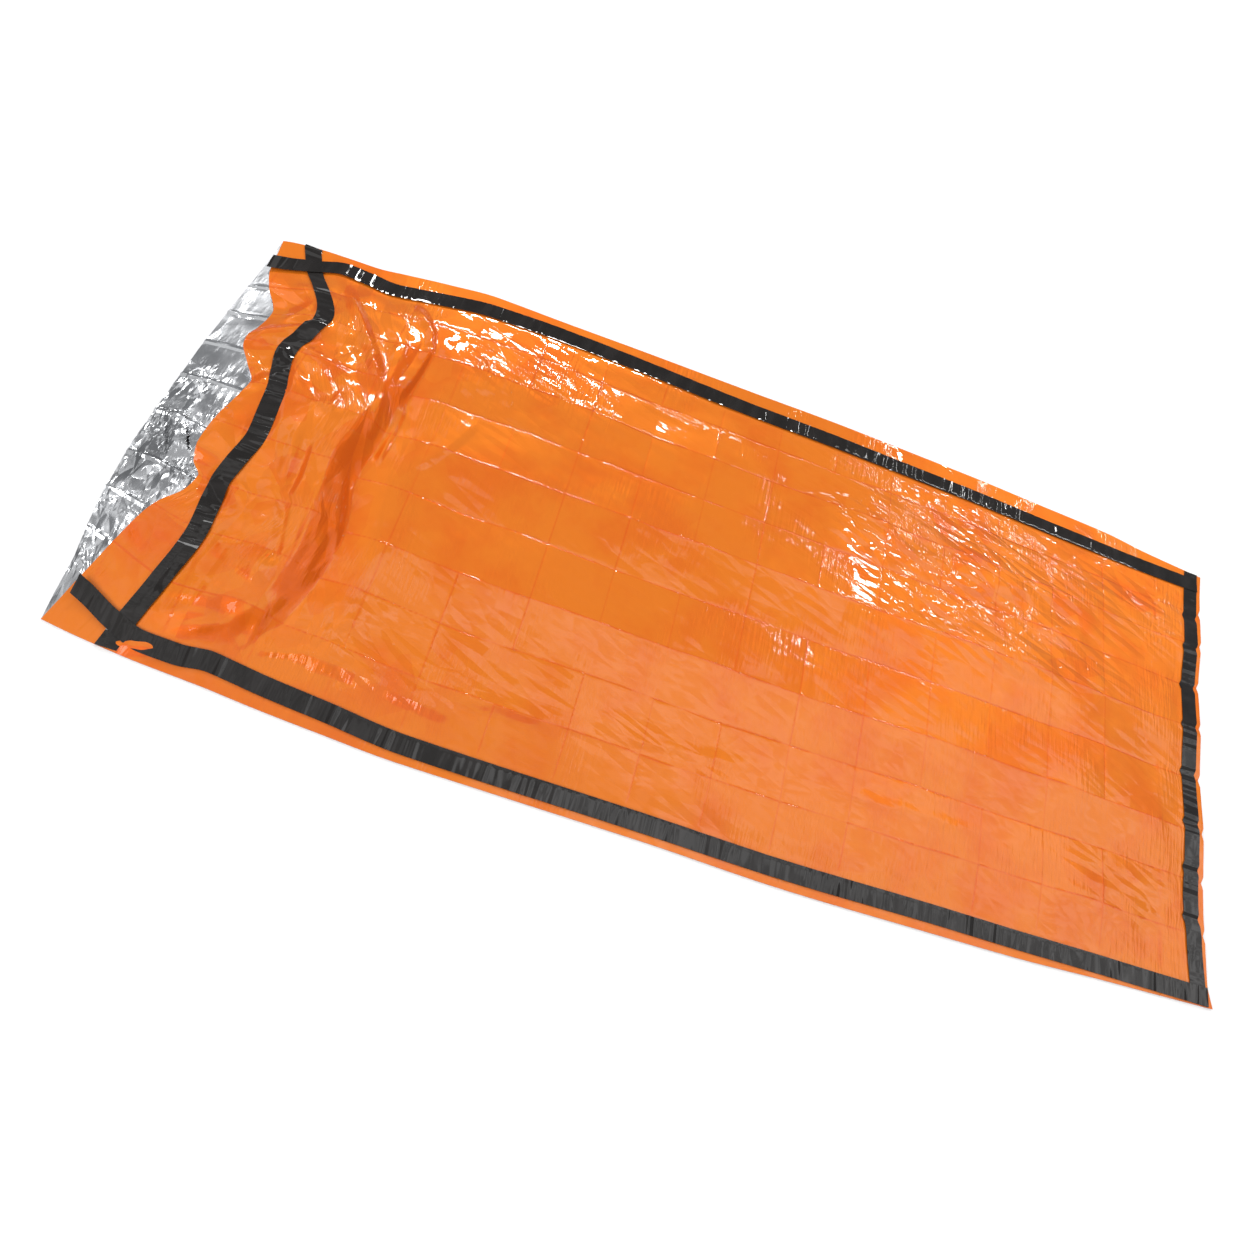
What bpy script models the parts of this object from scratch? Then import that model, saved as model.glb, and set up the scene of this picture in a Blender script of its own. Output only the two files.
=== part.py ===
"""Emergency sleeping bag, laid out on its back panel.

Two sheets of metallised film are taped together along both long sides and
across the foot. The mouth is at -X, the foot at +X, the near side at -Y and the
far side at +Y. The front panel lies on the back panel at the taped seams, holds
a shallow space of air over the body, and stands up at the mouth, where it drops
to the body over one hard fold that runs right across the bag.

Both panels are grids. Rows are lines that run from the mouth to the foot, and
columns are lines that run across. The tapes are cut from the front panel's grid,
so that each lies on its panel facet for facet.
"""
import math

import bpy
import bmesh

# ---------------------------------------------------------------------------
# Driving dimensions, in metres
# ---------------------------------------------------------------------------
HALF_LENGTH = 0.9975        # half the laid length, mouth lip to foot corner
HALF_WIDTH = 0.4655         # half the laid width where the bag is widest
FILM = 0.0012               # thickness of a panel
TAPE = 0.0010               # thickness of a tape
TAPE_WIDTH = 0.031          # width of every tape
GAP = 0.0003                # clearance between pieces that touch
FLAT_RIM = 0.011            # strip beside a tape that lies in the tape's plane

PANEL_FOLD_HEIGHT = 0.0022  # ridge or valley of a lengthwise pack fold
CROSS_FOLD_HEIGHT = 0.0010  # ridge of a cross pack fold
AIR_HEIGHT = 0.0150         # how high the air holds the front panel over the body
CROSS_FOLD_START = -0.455   # first cross pack fold on the body
CROSS_FOLD_PITCH = 0.242    # distance from one cross pack fold to the next
CELLS_PER_PITCH = 5         # sheet columns from one cross pack fold to the next
BODY_CELLS = 27             # sheet columns from the first cross fold to the foot
ROW_SPACING = 0.075         # widest share of the width between two rows
FOOT_MARGIN = 0.010         # film outside the foot tape
FOOT_NOTCH = 0.0035         # how far the foot edge jogs in at a pack fold
FOOT_FALL_START = 0.700     # where the front panel starts to fall to the foot
TAPE_OUTER_LIFT = 0.35      # how high a side tape's outer line stands, as a share of its inner

SEAT = FILM + GAP           # underside of the front panel at a seam
MM = 0.001

# Long sides and the tapes on them. Each row is a station along the bag:
# x, how far each edge lies inside HALF_WIDTH, and how far each tape's centre
# line lies inside its edge. All but x are in millimetres.
SIDES_COLUMNS = ("x", "near_inset", "far_inset", "near_tape", "far_tape")
SIDES = (
    (-0.985, 51, 90, 70, 62),
    (-0.940, 44, 74, 60, 60),
    (-0.890, 38, 66, 41, 50),
    (-0.838, 33, 62, 28, 32),
    (-0.790, 30, 59, 29, 36),
    (-0.740, 27, 49, 37, 47),
    (-0.660, 20, 33, 35, 43),
    (-0.570, 14, 19, 33, 38),
    (-0.440, 7, 16, 28, 33),
    (-0.280, 6, 11, 27, 37),
    (-0.060, 5, 6, 27, 45),
    (0.180, 0, 0, 29, 48),
    (0.420, 4, 0, 30, 49),
    (0.600, 8, 4, 28, 49),
    (0.760, 16, 8, 23, 48),
    (0.860, 20, 19, 20, 38),
    (1.000, 26, 28, 16, 27),
)

# Lengthwise lines of the sheet, from the near tape (share 0) to the far tape
# (share 1). Most are the pack folds that the bag was stored in: fold +1 is a
# ridge of the body, -1 a valley, 0 a line that only the mouth needs. The other
# columns shape the lifted mouth, in millimetres: how far the front panel's
# edge and the mouth tape's centre lie behind the mouth lip, and how high the
# panel stands at its edge, the tape, the shoulder, the crest, the foot of the
# drop and the low swell behind it. The last two raise the back panel's lip.
LINES_COLUMNS = ("share", "fold", "edge_x", "tape_x", "edge_z", "tape_z", "shoulder_z",
                 "crest_z", "drop_z", "swell_z", "lip_z", "behind_lip_z")
LINES = (
    (0.000, 0, 40, 126, 9, 7, 9, 6, 2, 1, 0, 0),
    (0.105, 1, 60, 145, 22, 20, 32, 30, 9, 11, 1, 3),
    (0.225, -1, 90, 163, 42, 36, 43, 43, 12, 18, 3, 0),
    (0.338, 1, 119, 157, 30, 36, 44, 47, 13, 19, 1, 3),
    (0.400, 0, 104, 166, 44, 42, 46, 50, 13, 20, 2, 2),
    (0.470, -1, 113, 174, 42, 44, 48, 52, 13, 20, 4, 0),
    (0.599, 1, 124, 166, 36, 42, 46, 48, 13, 18, 2, 3),
    (0.715, -1, 82, 150, 36, 38, 42, 40, 13, 17, 3, 0),
    (0.833, 1, 90, 174, 14, 30, 32, 28, 14, 16, 1, 2),
    (0.932, -1, 60, 142, 9, 16, 20, 16, 12, 10, 0, 1),
    (1.000, 0, 45, 116, 3, 5, 4, 4, 3, 2, 0, 0),
)
NEAR_EDGE_ROW = {"edge_x": 20, "tape_x": 114}    # the same two, at the near edge
FAR_EDGE_ROW = {"edge_x": 38, "tape_x": 91}      # and at the far edge

# Stations of the mouth's cross-sections along the bag.
SHOULDER_X = -0.775
CREST_X = -0.690
DROP_X = -0.645
SWELL_X = -0.600
BODY_X = -0.500

# Mouth lip of the back panel and foot edge of both panels: share of the width
# from the near edge, and how far the edge lies inside HALF_LENGTH, millimetres.
MOUTH_LIP = ((0.00, 20), (0.08, 16), (0.22, 4), (0.35, 0), (0.50, 5), (0.63, 10), (0.87, 27),
             (1.00, 38))
FOOT_EDGE = ((0.00, 18), (0.10, 29), (0.18, 33), (0.27, 27), (0.50, 24), (0.70, 18),
             (0.80, 11), (1.00, 0))

# Loose folds that lie across the pack folds. Each row is a straight ridge from
# one point to another: x and y of both ends in metres, then how high it stands
# (below 0 it is a trough) and half its width, in millimetres.
FOLDS_COLUMNS = ("name", "x0", "y0", "x1", "y1", "height", "half_width")
FOLDS = (
    ("mouth_point", -0.900, 0.140, -0.790, 0.225, 8, 26),
    ("mouth_pleat", -0.880, 0.050, -0.800, 0.150, -8, 30),
    ("mouth_step", -0.870, -0.125, -0.800, -0.190, -7, 26),
    ("far_slant", -0.825, 0.330, -0.690, 0.160, 10, 28),
    ("far_trough", -0.770, 0.350, -0.675, 0.200, -9, 26),
    ("far_corner", -0.735, 0.350, -0.645, 0.285, 9, 24),
    ("shoulder_trough", -0.745, -0.050, -0.735, -0.170, -6, 22),
    ("near_slant", -0.840, -0.290, -0.700, -0.345, 6, 24),
    ("near_pucker_mouth", -0.720, -0.355, -0.590, -0.355, 9, 26),
    ("near_pucker_mid", -0.590, -0.360, -0.450, -0.378, 8, 24),
    ("near_pucker_body", -0.430, -0.368, -0.240, -0.336, 7, 24),
    ("near_ripple", -0.170, -0.322, 0.120, -0.292, 5, 24),
    ("near_ripple_foot", 0.180, -0.290, 0.560, -0.278, 4, 24),
    ("foot_ripple", 0.660, -0.285, 0.850, -0.312, 4, 24),
    ("far_pucker", 0.170, 0.350, 0.420, 0.270, 6, 26),
    ("far_pucker_foot", 0.450, 0.355, 0.620, 0.270, 6, 24),
    ("slant_trough", 0.540, 0.262, 0.790, 0.150, -5, 26),
)
FOLD_TAPER = 0.25           # share of a fold's length over which each end runs out
SEAM_CLEARANCE = 0.040      # loose folds die out over this width beside a tape

FILM_ORANGE = (0.86, 0.20, 0.018, 1.0)
FILM_SILVER = (0.72, 0.73, 0.75, 1.0)
TAPE_BLACK = (0.012, 0.011, 0.010, 1.0)


# ---------------------------------------------------------------------------
# Reading the tables
# ---------------------------------------------------------------------------
def between(rows, position, value=1):
    """Read a table of rows, sorted by their first number, at a position."""
    if position <= rows[0][0]:
        return rows[0][value]
    for low, high in zip(rows, rows[1:]):
        if position <= high[0]:
            share = (position - low[0]) / (high[0] - low[0])
            return low[value] + share * (high[value] - low[value])
    return rows[-1][value]


def side(name, x):
    """A column of SIDES at x, in metres."""
    return between(SIDES, x, SIDES_COLUMNS.index(name)) * MM


def line(name, share):
    """A column of LINES at a share of the width between the tapes, in metres."""
    return between(LINES, share, LINES_COLUMNS.index(name)) * MM


# ---------------------------------------------------------------------------
# Rows of the sheet: lines that run from the mouth to the foot
# ---------------------------------------------------------------------------
def across(row, x):
    """Y of a row at x. A row is (kind, share)."""
    near_edge = -HALF_WIDTH + side("near_inset", x)
    far_edge = HALF_WIDTH - side("far_inset", x)
    near_tape = near_edge + side("near_tape", x)
    far_tape = far_edge - side("far_tape", x)
    near_inner = near_tape + TAPE_WIDTH / 2
    far_inner = far_tape - TAPE_WIDTH / 2
    places = {
        "near_edge": near_edge,
        "near_tape_outer": near_tape - TAPE_WIDTH / 2,
        "near_tape_inner": near_inner,
        "near_rim": near_inner + FLAT_RIM,
        "far_rim": far_inner - FLAT_RIM,
        "far_tape_inner": far_inner,
        "far_tape_outer": far_tape + TAPE_WIDTH / 2,
        "far_edge": far_edge,
    }
    kind, share = row
    if kind in places:
        return places[kind]
    return near_inner + share * (far_inner - near_inner)


def panel_rows():
    """Every row of a panel, near side first, with more rows between wide folds."""
    shares = [entry[0] for entry in LINES]
    inner = []
    for low, high in zip(shares[1:], shares[2:]):
        cells = max(1, math.ceil((high - low) / ROW_SPACING))
        inner += [("line", low + (high - low) * cell / cells) for cell in range(cells)]
    return ([("near_edge", 0), ("near_tape_outer", 0), ("near_tape_inner", 0), ("near_rim", 0)]
            + inner
            + [("far_rim", 1), ("far_tape_inner", 1), ("far_tape_outer", 1), ("far_edge", 1)])


def edge_share(row):
    """Rough share of the whole width at which a row lies, near edge to far edge."""
    kind, share = row
    fixed = {"near_edge": 0.0, "near_tape_outer": 0.03, "near_tape_inner": 0.065,
             "near_rim": 0.08, "far_rim": 0.91, "far_tape_inner": 0.925,
             "far_tape_outer": 0.96, "far_edge": 1.0}
    return fixed.get(kind, 0.065 + share * 0.86)


def mouth_column(name, row):
    """edge_x or tape_x of a row, out to the panel's edges, in metres."""
    kind, share = row
    if kind == "near_edge":
        return NEAR_EDGE_ROW[name] * MM
    if kind == "far_edge":
        return FAR_EDGE_ROW[name] * MM
    if kind == "near_tape_outer":
        return (NEAR_EDGE_ROW[name] * MM + line(name, 0)) / 2
    if kind == "far_tape_outer":
        return (FAR_EDGE_ROW[name] * MM + line(name, 1)) / 2
    return line(name, share)


# ---------------------------------------------------------------------------
# Columns of the sheet: lines that run across the bag
# ---------------------------------------------------------------------------
def foot_edge(row):
    """X of the foot edge, jogged in where a pack fold meets it."""
    kind, share = row
    x = HALF_LENGTH - between(FOOT_EDGE, edge_share(row)) * MM
    if kind == "line" and any(entry[1] and abs(entry[0] - share) < 0.001 for entry in LINES):
        x -= FOOT_NOTCH
    return x


def mouth_lip(row):
    """X of the back panel's lip."""
    return -HALF_LENGTH + between(MOUTH_LIP, edge_share(row)) * MM


def along(column, row):
    """X of a column where it meets a row. A column is (kind, x)."""
    kind, x = column
    if kind == "at":
        return x
    if kind == "lip":
        return mouth_lip(row) + x
    if kind == "mouth_edge":
        return -HALF_LENGTH + mouth_column("edge_x", row)
    if kind == "mouth_tape":
        return -HALF_LENGTH + mouth_column("tape_x", row) + x
    return foot_edge(row) + x


def front_columns():
    half = TAPE_WIDTH / 2
    tape_outer = -FOOT_MARGIN
    tape_inner = tape_outer - TAPE_WIDTH
    step = CROSS_FOLD_PITCH / CELLS_PER_PITCH
    body = [("at", CROSS_FOLD_START + index * step) for index in range(BODY_CELLS + 1)]
    return ([("mouth_edge", 0), ("mouth_tape", -half - FLAT_RIM / 2), ("mouth_tape", -half),
             ("mouth_tape", half), ("mouth_tape", half + FLAT_RIM),
             ("at", SHOULDER_X), ("at", SHOULDER_X + 0.030), ("at", CREST_X - 0.028),
             ("at", CREST_X - 0.010), ("at", CREST_X + 0.008), ("at", (CREST_X + DROP_X) / 2),
             ("at", DROP_X), ("at", (DROP_X + SWELL_X) / 2), ("at", SWELL_X),
             ("at", (SWELL_X + BODY_X) / 2), ("at", BODY_X)]
            + body
            + [("foot", tape_inner - FLAT_RIM), ("foot", tape_inner), ("foot", tape_outer),
               ("foot", 0)])


def back_columns():
    return ([("lip", 0), ("lip", 0.030), ("lip", 0.065), ("lip", 0.110)]
            + [("at", -0.800 + index * 0.120) for index in range(15)]
            + [("foot", -0.050), ("foot", 0)])


# ---------------------------------------------------------------------------
# Heights
# ---------------------------------------------------------------------------
def body_lift(x, share):
    """Height of the air-filled body above the seam: a low crown and its folds."""
    crown = AIR_HEIGHT * (1 - abs(2 * share - 1) ** 3)
    fold = between(LINES, share, LINES_COLUMNS.index("fold")) * PANEL_FOLD_HEIGHT
    fold *= min(1.0, 8 * share, 8 * (1 - share))
    phase = (x - CROSS_FOLD_START) / CROSS_FOLD_PITCH % 1.0
    cross = CROSS_FOLD_HEIGHT * (1 - 4 * min(phase, 1 - phase))
    lift = crown + fold - cross * min(1.0, 6 * share, 6 * (1 - share))
    fall = (HALF_LENGTH - 0.075 - x) / (HALF_LENGTH - 0.075 - FOOT_FALL_START)
    return lift * max(0.0, min(1.0, fall)) ** 0.8


def front_lift(x, row, edge_x, tape_x):
    """Height of the front panel's underside above the seam level."""
    kind, share = row
    if kind in ("near_edge", "far_edge"):
        return 0.0
    if kind in ("near_rim", "far_rim"):
        share = round(share)
    sections = (
        (edge_x, line("edge_z", share)),
        (tape_x, line("tape_z", share)),
        (SHOULDER_X, line("shoulder_z", share)),
        (CREST_X, line("crest_z", share)),
        (DROP_X, line("drop_z", share)),
        (SWELL_X, line("swell_z", share)),
        (BODY_X, body_lift(BODY_X, share)),
    )
    lift = between(sections, x) if x < BODY_X else body_lift(x, share)
    if kind in ("near_tape_outer", "far_tape_outer"):
        return TAPE_OUTER_LIFT * lift
    if kind in ("near_rim", "far_rim"):
        return lift * (1 + (1 - TAPE_OUTER_LIFT) * FLAT_RIM / TAPE_WIDTH)
    return lift


def loose_folds(x, y):
    """Height that the loose folds add at a point, from seam to seam."""
    room = min(y - across(("near_rim", 0), x), across(("far_rim", 0), x) - y)
    if room <= 0:
        return 0.0
    total = 0.0
    for _, x0, y0, x1, y1, height, half_width in FOLDS:
        run = (x1 - x0, y1 - y0)
        length = math.hypot(*run)
        along_fold = ((x - x0) * run[0] + (y - y0) * run[1]) / length ** 2
        off_fold = abs((x - x0) * run[1] - (y - y0) * run[0]) / length
        end = min(1.0, along_fold / FOLD_TAPER, (1 - along_fold) / FOLD_TAPER)
        flank = 1 - off_fold / (half_width * MM)
        total += height * MM * max(0.0, end) * max(0.0, flank)
    return total * min(1.0, room / SEAM_CLEARANCE)


def front_point(column, row):
    x = along(column, row)
    edge_x = along(("mouth_edge", 0), row)
    tape_x = along(("mouth_tape", 0), row)
    rim = TAPE_WIDTH / 2 + FLAT_RIM
    kind, share = row
    y = across(row, x)
    lift = front_lift(x, row, edge_x, tape_x)
    if column[0] == "mouth_tape":
        # the tape and the strip beside it lie in one plane
        level = front_lift(tape_x, row, edge_x, tape_x) + loose_folds(tape_x, y)
        ahead = front_lift(tape_x + rim, row, edge_x, tape_x) + loose_folds(tape_x + rim, y)
        return x, y, SEAT + level + (ahead - level) * (x - tape_x) / rim
    return x, y, SEAT + lift + loose_folds(x, y)


def back_point(column, row):
    x = along(column, row)
    kind, share = row
    lift = 0.0
    if kind == "line" and column[0] == "lip":
        if column[1] == 0:
            lift = line("lip_z", share)
        elif column[1] < 0.04:
            lift = line("behind_lip_z", share)
    return x, across(row, x), lift


# ---------------------------------------------------------------------------
# Building the pieces
# ---------------------------------------------------------------------------
def material(name, colour, roughness, metallic):
    made = bpy.data.materials.new(name)
    made.use_nodes = True
    shader = made.node_tree.nodes["Principled BSDF"]
    shader.inputs["Base Color"].default_value = colour
    shader.inputs["Roughness"].default_value = roughness
    shader.inputs["Metallic"].default_value = metallic
    made.diffuse_color = colour
    return made


def sheet(name, columns, rows, point, keep=None, raise_by=None):
    """An open grid sheet whose vertices are placed by point(column, row).

    keep(column_index, row_index) chooses the cells that stay, and
    raise_by(column_index, row_index) lifts a vertex."""
    mesh = bpy.data.meshes.new(name)
    grid = bmesh.new()
    bmesh.ops.create_grid(grid, x_segments=len(columns) - 1, y_segments=len(rows) - 1, size=0.5)
    places = {vertex: (round((vertex.co.x + 0.5) * (len(columns) - 1)),
                       round((vertex.co.y + 0.5) * (len(rows) - 1))) for vertex in grid.verts}
    if keep:
        cut_away = [face for face in grid.faces
                    if not keep(min(places[vertex][0] for vertex in face.verts),
                                min(places[vertex][1] for vertex in face.verts))]
        bmesh.ops.delete(grid, geom=cut_away, context="FACES")
    for vertex in grid.verts:
        column, row = places[vertex]
        vertex.co = point(columns[column], rows[row])
        if raise_by:
            vertex.co.z += raise_by(column, row)
    bmesh.ops.triangulate(grid, faces=grid.faces[:], quad_method="FIXED")
    grid.to_mesh(mesh)
    grid.free()
    return bpy.data.objects.new(name, mesh)


def thicken(piece, thickness, clearance, shade):
    """Give a sheet its thickness, starting a clearance above the drawn surface."""
    solidify = piece.modifiers.new("thickness", "SOLIDIFY")
    solidify.thickness = thickness
    solidify.offset = 1 + 2 * clearance / thickness
    solidify.use_even_offset = True
    solidify.use_rim = True
    piece.data.materials.append(shade)
    return piece


def build():
    for item in list(bpy.data.objects):
        bpy.data.objects.remove(item, do_unlink=True)
    parts = bpy.data.collections.new("emergency_sleeping_bag")
    bpy.context.scene.collection.children.link(parts)

    orange = material("film_orange", FILM_ORANGE, 0.22, 0.0)
    silver = material("film_silver", FILM_SILVER, 0.25, 1.0)
    black = material("tape_black", TAPE_BLACK, 0.30, 0.0)

    rows = panel_rows()
    columns = front_columns()
    row_kinds = [row[0] for row in rows]
    near_row = row_kinds.index("near_tape_outer")
    far_row = row_kinds.index("far_tape_inner")
    mouth_tape_column = columns.index(("mouth_tape", -TAPE_WIDTH / 2))
    foot_tape_column = len(columns) - 3
    crossing_columns = (mouth_tape_column, mouth_tape_column + 1,
                        foot_tape_column, foot_tape_column + 1)

    def over_cross_tapes(column, row):
        return TAPE + GAP if column in crossing_columns else 0.0

    pieces = [
        thicken(sheet("back_panel", back_columns(), rows, back_point), FILM, 0.0, silver),
        thicken(sheet("front_panel", columns, rows, front_point), FILM, 0.0, orange),
        thicken(sheet("mouth_tape", columns, rows, front_point,
                      keep=lambda column, row: column == mouth_tape_column),
                TAPE, FILM + GAP, black),
        thicken(sheet("foot_tape", columns, rows, front_point,
                      keep=lambda column, row: column == foot_tape_column),
                TAPE, FILM + GAP, black),
        thicken(sheet("side_tape_near", columns, rows, front_point,
                      keep=lambda column, row: row == near_row, raise_by=over_cross_tapes),
                TAPE, FILM + GAP, black),
        thicken(sheet("side_tape_far", columns, rows, front_point,
                      keep=lambda column, row: row == far_row, raise_by=over_cross_tapes),
                TAPE, FILM + GAP, black),
    ]
    for piece in pieces:
        parts.objects.link(piece)


build()
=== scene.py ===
"""Looks of the emergency sleeping bag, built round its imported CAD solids.

The bag lies on its back panel with the mouth at -X, the foot at +X, the near side
at -Y and the far side at +Y. Each panel is a thin shell of film: a fine grid on the
side that shows, a coarser one behind it, and a rim between them. One function gives
the height of the front panel anywhere on the bag, so that the tapes can be laid on it.
"""
import math

import bmesh
import bpy
import numpy as np
from mathutils import Matrix, Quaternion, Vector


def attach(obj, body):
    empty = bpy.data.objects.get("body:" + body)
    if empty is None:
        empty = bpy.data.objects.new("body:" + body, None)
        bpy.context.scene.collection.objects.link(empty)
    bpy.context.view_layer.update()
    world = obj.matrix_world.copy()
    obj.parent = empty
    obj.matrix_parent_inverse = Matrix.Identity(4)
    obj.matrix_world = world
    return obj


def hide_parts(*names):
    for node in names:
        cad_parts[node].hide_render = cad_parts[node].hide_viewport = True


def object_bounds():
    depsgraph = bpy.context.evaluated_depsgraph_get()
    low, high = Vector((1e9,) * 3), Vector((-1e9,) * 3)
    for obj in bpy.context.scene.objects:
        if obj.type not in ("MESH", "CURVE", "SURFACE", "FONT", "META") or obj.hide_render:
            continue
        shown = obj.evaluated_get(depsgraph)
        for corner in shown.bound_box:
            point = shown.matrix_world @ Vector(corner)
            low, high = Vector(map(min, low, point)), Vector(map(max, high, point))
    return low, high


bl_info = {
    "name": "Emergency sleeping bag",
    "version": (1, 0, 0),
    "blender": (4, 5, 0),
    "location": "3D View > Sidebar > Sleeping Bag",
    "description": "Builds a laid-out bag of metallised film with taped seams",
    "category": "Object",
}

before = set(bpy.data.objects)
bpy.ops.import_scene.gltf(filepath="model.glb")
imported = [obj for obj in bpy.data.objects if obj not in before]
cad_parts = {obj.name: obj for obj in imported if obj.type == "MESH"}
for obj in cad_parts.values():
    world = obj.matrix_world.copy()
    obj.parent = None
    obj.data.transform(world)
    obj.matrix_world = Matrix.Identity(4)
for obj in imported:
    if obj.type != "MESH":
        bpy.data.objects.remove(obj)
CAD_LOW, CAD_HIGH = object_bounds()

# ---------------------------------------------------------------------------
# Sizes, in metres unless a name says millimetres
# ---------------------------------------------------------------------------
MM = 0.001
HALF_LENGTH = CAD_HIGH.x            # mouth lip to foot corner, halved
HALF_WIDTH = CAD_HIGH.y             # half the laid width where the bag is widest
SEAT = 0.0015                       # underside of the front panel at a seam
TAPE_OUTER_LIFT = 0.35              # height of a side tape's outer line, share of its inner
CROSS_FOLD_START = -0.455           # first cross pack fold on the body
CROSS_FOLD_PITCH = 0.121            # distance from one cross pack fold to the next
CREASE_ANGLE = 12.0                 # degrees at which a bend of the film is a sharp crease
FOLD_STRAY = 0.0026                 # how far a lengthwise fold strays, share of the width
LAID_BETWEEN_TAPES = 0.82           # usual width between the side tapes
CROSS_FOLDS_BEFORE = 5              # cross pack folds towards the mouth from the first
FOOT_MARGIN = 0.010                 # film outside the foot tape
ROUND_CREST_ANGLE = 65.0            # degrees up to which the mouth's folds stay round
ROUND_BEFORE = -0.585               # place along the bag where the mouth's folds end
MOUTH_SOFTNESS = 0.45               # how rounded the lifted mouth is at its stations
FOOT_PLEAT = 0.0055                 # height of the zigzag at the foot edge
INNER_RIDGE = 0.0028                # height of a pack fold's ridge inside the mouth
INNER_TUBE = (-0.968, -0.020, -0.925, -0.102, 0.016)    # from x, y to x, y; half width
INNER_TUBE_HEIGHT = 0.006
PLEAT = (-0.888, -0.778, -0.409, 0.017)     # start and end along x, middle y, half width
PLEAT_HEIGHT = 0.0052
FOOT_FALL_START = 0.700             # where the front panel starts to fall to the foot
FOOT_FALL_END = HALF_LENGTH - 0.075     # where it has come down
FOOT_NOTCH = 0.0045                 # how far the foot edge jogs in at a pack fold
NOTCH_HALF_WIDTH = 0.012            # half the width of that jog, share of the width
MARGIN_SHARE = 0.07                 # share of the width outside each side tape's inner line
CROSS_FOLD_COLUMNS = 18             # cross pack folds that are given a height of their own
SWELL = (0.0022, 0.19, 1.6, 0.2)    # broad waves: height, size, stretch along the bag, blur
CRUMPLED_ANYWHERE = 0.17            # how strongly the film is crumpled outside its crumpled places
FLOOR_GAP = 0.0002                  # least height of the back panel over the floor
PANEL_GAP = 0.0004                  # clearance between the panels
BACK_LIFT = 0.0009                  # height of the back panel's inner face where it lies flat
BACK_OPEN_COLUMNS_END = -0.74       # the back panel's grid is fine from the lip to here
TAPE_LIFT = 0.0008                  # least height of a tape's shown face over the film
TAPE_RELIEF = 0.0004                # half the height of a tape's own wrinkles
TAPE_REACH = 0.003                  # how far round a place a tape clears the film
TAPE_END_INSET = 0.001              # how far a cross tape ends inside the edge

# Long sides and the tapes on them. Each row is a station along the bag:
# x, how far each edge lies inside HALF_WIDTH, and how far each tape's centre
# line lies inside its edge. All but x are in millimetres.
SIDES_COLUMNS = ("x", "near_inset", "far_inset", "near_tape", "far_tape")
SIDES = (
    (-0.985, 51, 90, 70, 62),
    (-0.940, 44, 74, 60, 60),
    (-0.890, 38, 66, 41, 50),
    (-0.838, 33, 62, 28, 32),
    (-0.790, 30, 59, 29, 36),
    (-0.740, 27, 49, 37, 47),
    (-0.660, 20, 33, 35, 43),
    (-0.570, 14, 19, 33, 38),
    (-0.440, 7, 16, 28, 33),
    (-0.280, 6, 11, 27, 37),
    (-0.060, 5, 6, 27, 45),
    (0.180, 0, 0, 29, 48),
    (0.420, 4, 0, 30, 49),
    (0.600, 8, 4, 28, 49),
    (0.760, 16, 8, 23, 48),
    (0.860, 20, 19, 20, 38),
    (1.000, 26, 28, 16, 27),
)

# The lifted mouth, from the near tape (share 0) to the far tape (share 1), in
# millimetres: how far the front panel's edge and the mouth tape's centre lie
# behind the mouth lip, and how high the panel stands at its edge, the tape, the
# shoulder, the crest, the foot of the drop and the low swell behind it.
MOUTH_COLUMNS = ("share", "edge_x", "tape_x", "edge_z", "tape_z", "shoulder_z",
                 "crest_z", "drop_z", "swell_z")
MOUTH = (
    (-0.090, 20, 114, 0, 0, 0, 0, 0, 0),
    (0.000, 40, 126, 9, 7, 9, 6, 2, 1),
    (0.105, 60, 145, 22, 20, 32, 30, 9, 11),
    (0.225, 90, 163, 42, 36, 43, 43, 12, 18),
    (0.300, 117, 159, 34, 36, 44, 46, 13, 19),
    (0.338, 121, 157, 30, 36, 44, 47, 13, 19),
    (0.362, 106, 160, 34, 38, 45, 48, 13, 19),
    (0.400, 102, 166, 44, 42, 46, 50, 13, 20),
    (0.470, 106, 174, 44, 42, 48, 52, 13, 20),
    (0.560, 120, 169, 40, 42, 47, 50, 13, 19),
    (0.599, 124, 166, 36, 42, 46, 48, 13, 18),
    (0.650, 104, 156, 36, 40, 44, 44, 13, 17),
    (0.700, 84, 150, 37, 38, 42, 41, 13, 17),
    (0.720, 82, 151, 36, 38, 42, 40, 13, 17),
    (0.760, 86, 162, 26, 35, 38, 35, 13, 17),
    (0.833, 90, 174, 14, 30, 32, 28, 14, 16),
    (0.932, 60, 142, 9, 16, 20, 16, 12, 10),
    (1.000, 45, 116, 3, 5, 4, 4, 3, 2),
    (1.090, 38, 91, 0, 0, 0, 0, 0, 0),
)
SHOULDER_X, CREST_X, DROP_X, SWELL_X, BODY_X = -0.775, -0.690, -0.645, -0.600, -0.500
BODY_START_X = BODY_X + 0.12        # from here to the foot only the body's own height counts

# How far the foot of the drop strays from DROP_X, in millimetres, by share.
DROP_STRAY = ((0.00, -60), (0.05, -57), (0.11, -24), (0.28, 0), (0.33, 2), (0.47, -16),
              (0.56, -6), (0.65, 5), (0.78, 10), (0.90, -2), (1.00, -15))

# Lengthwise pack folds: share of the width between the tapes, and which way each
# one stands, +1 a ridge and -1 a valley.
PACK_FOLDS = ((0.105, 1), (0.225, -1), (0.338, 1), (0.470, -1), (0.599, 1),
              (0.715, -1), (0.833, 1), (0.932, -1))

# Mouth lip of the back panel and foot edge of both panels: share of the width
# from edge to edge, and how far the edge lies inside HALF_LENGTH, millimetres.
MOUTH_LIP = ((0.00, 20), (0.08, 16), (0.22, 4), (0.35, 0), (0.50, 5), (0.63, 10), (0.87, 27),
             (1.00, 38))
FOOT_EDGE = ((0.00, 18), (0.10, 29), (0.18, 33), (0.27, 27), (0.50, 24), (0.70, 18),
             (0.80, 11), (1.00, 0))

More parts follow.
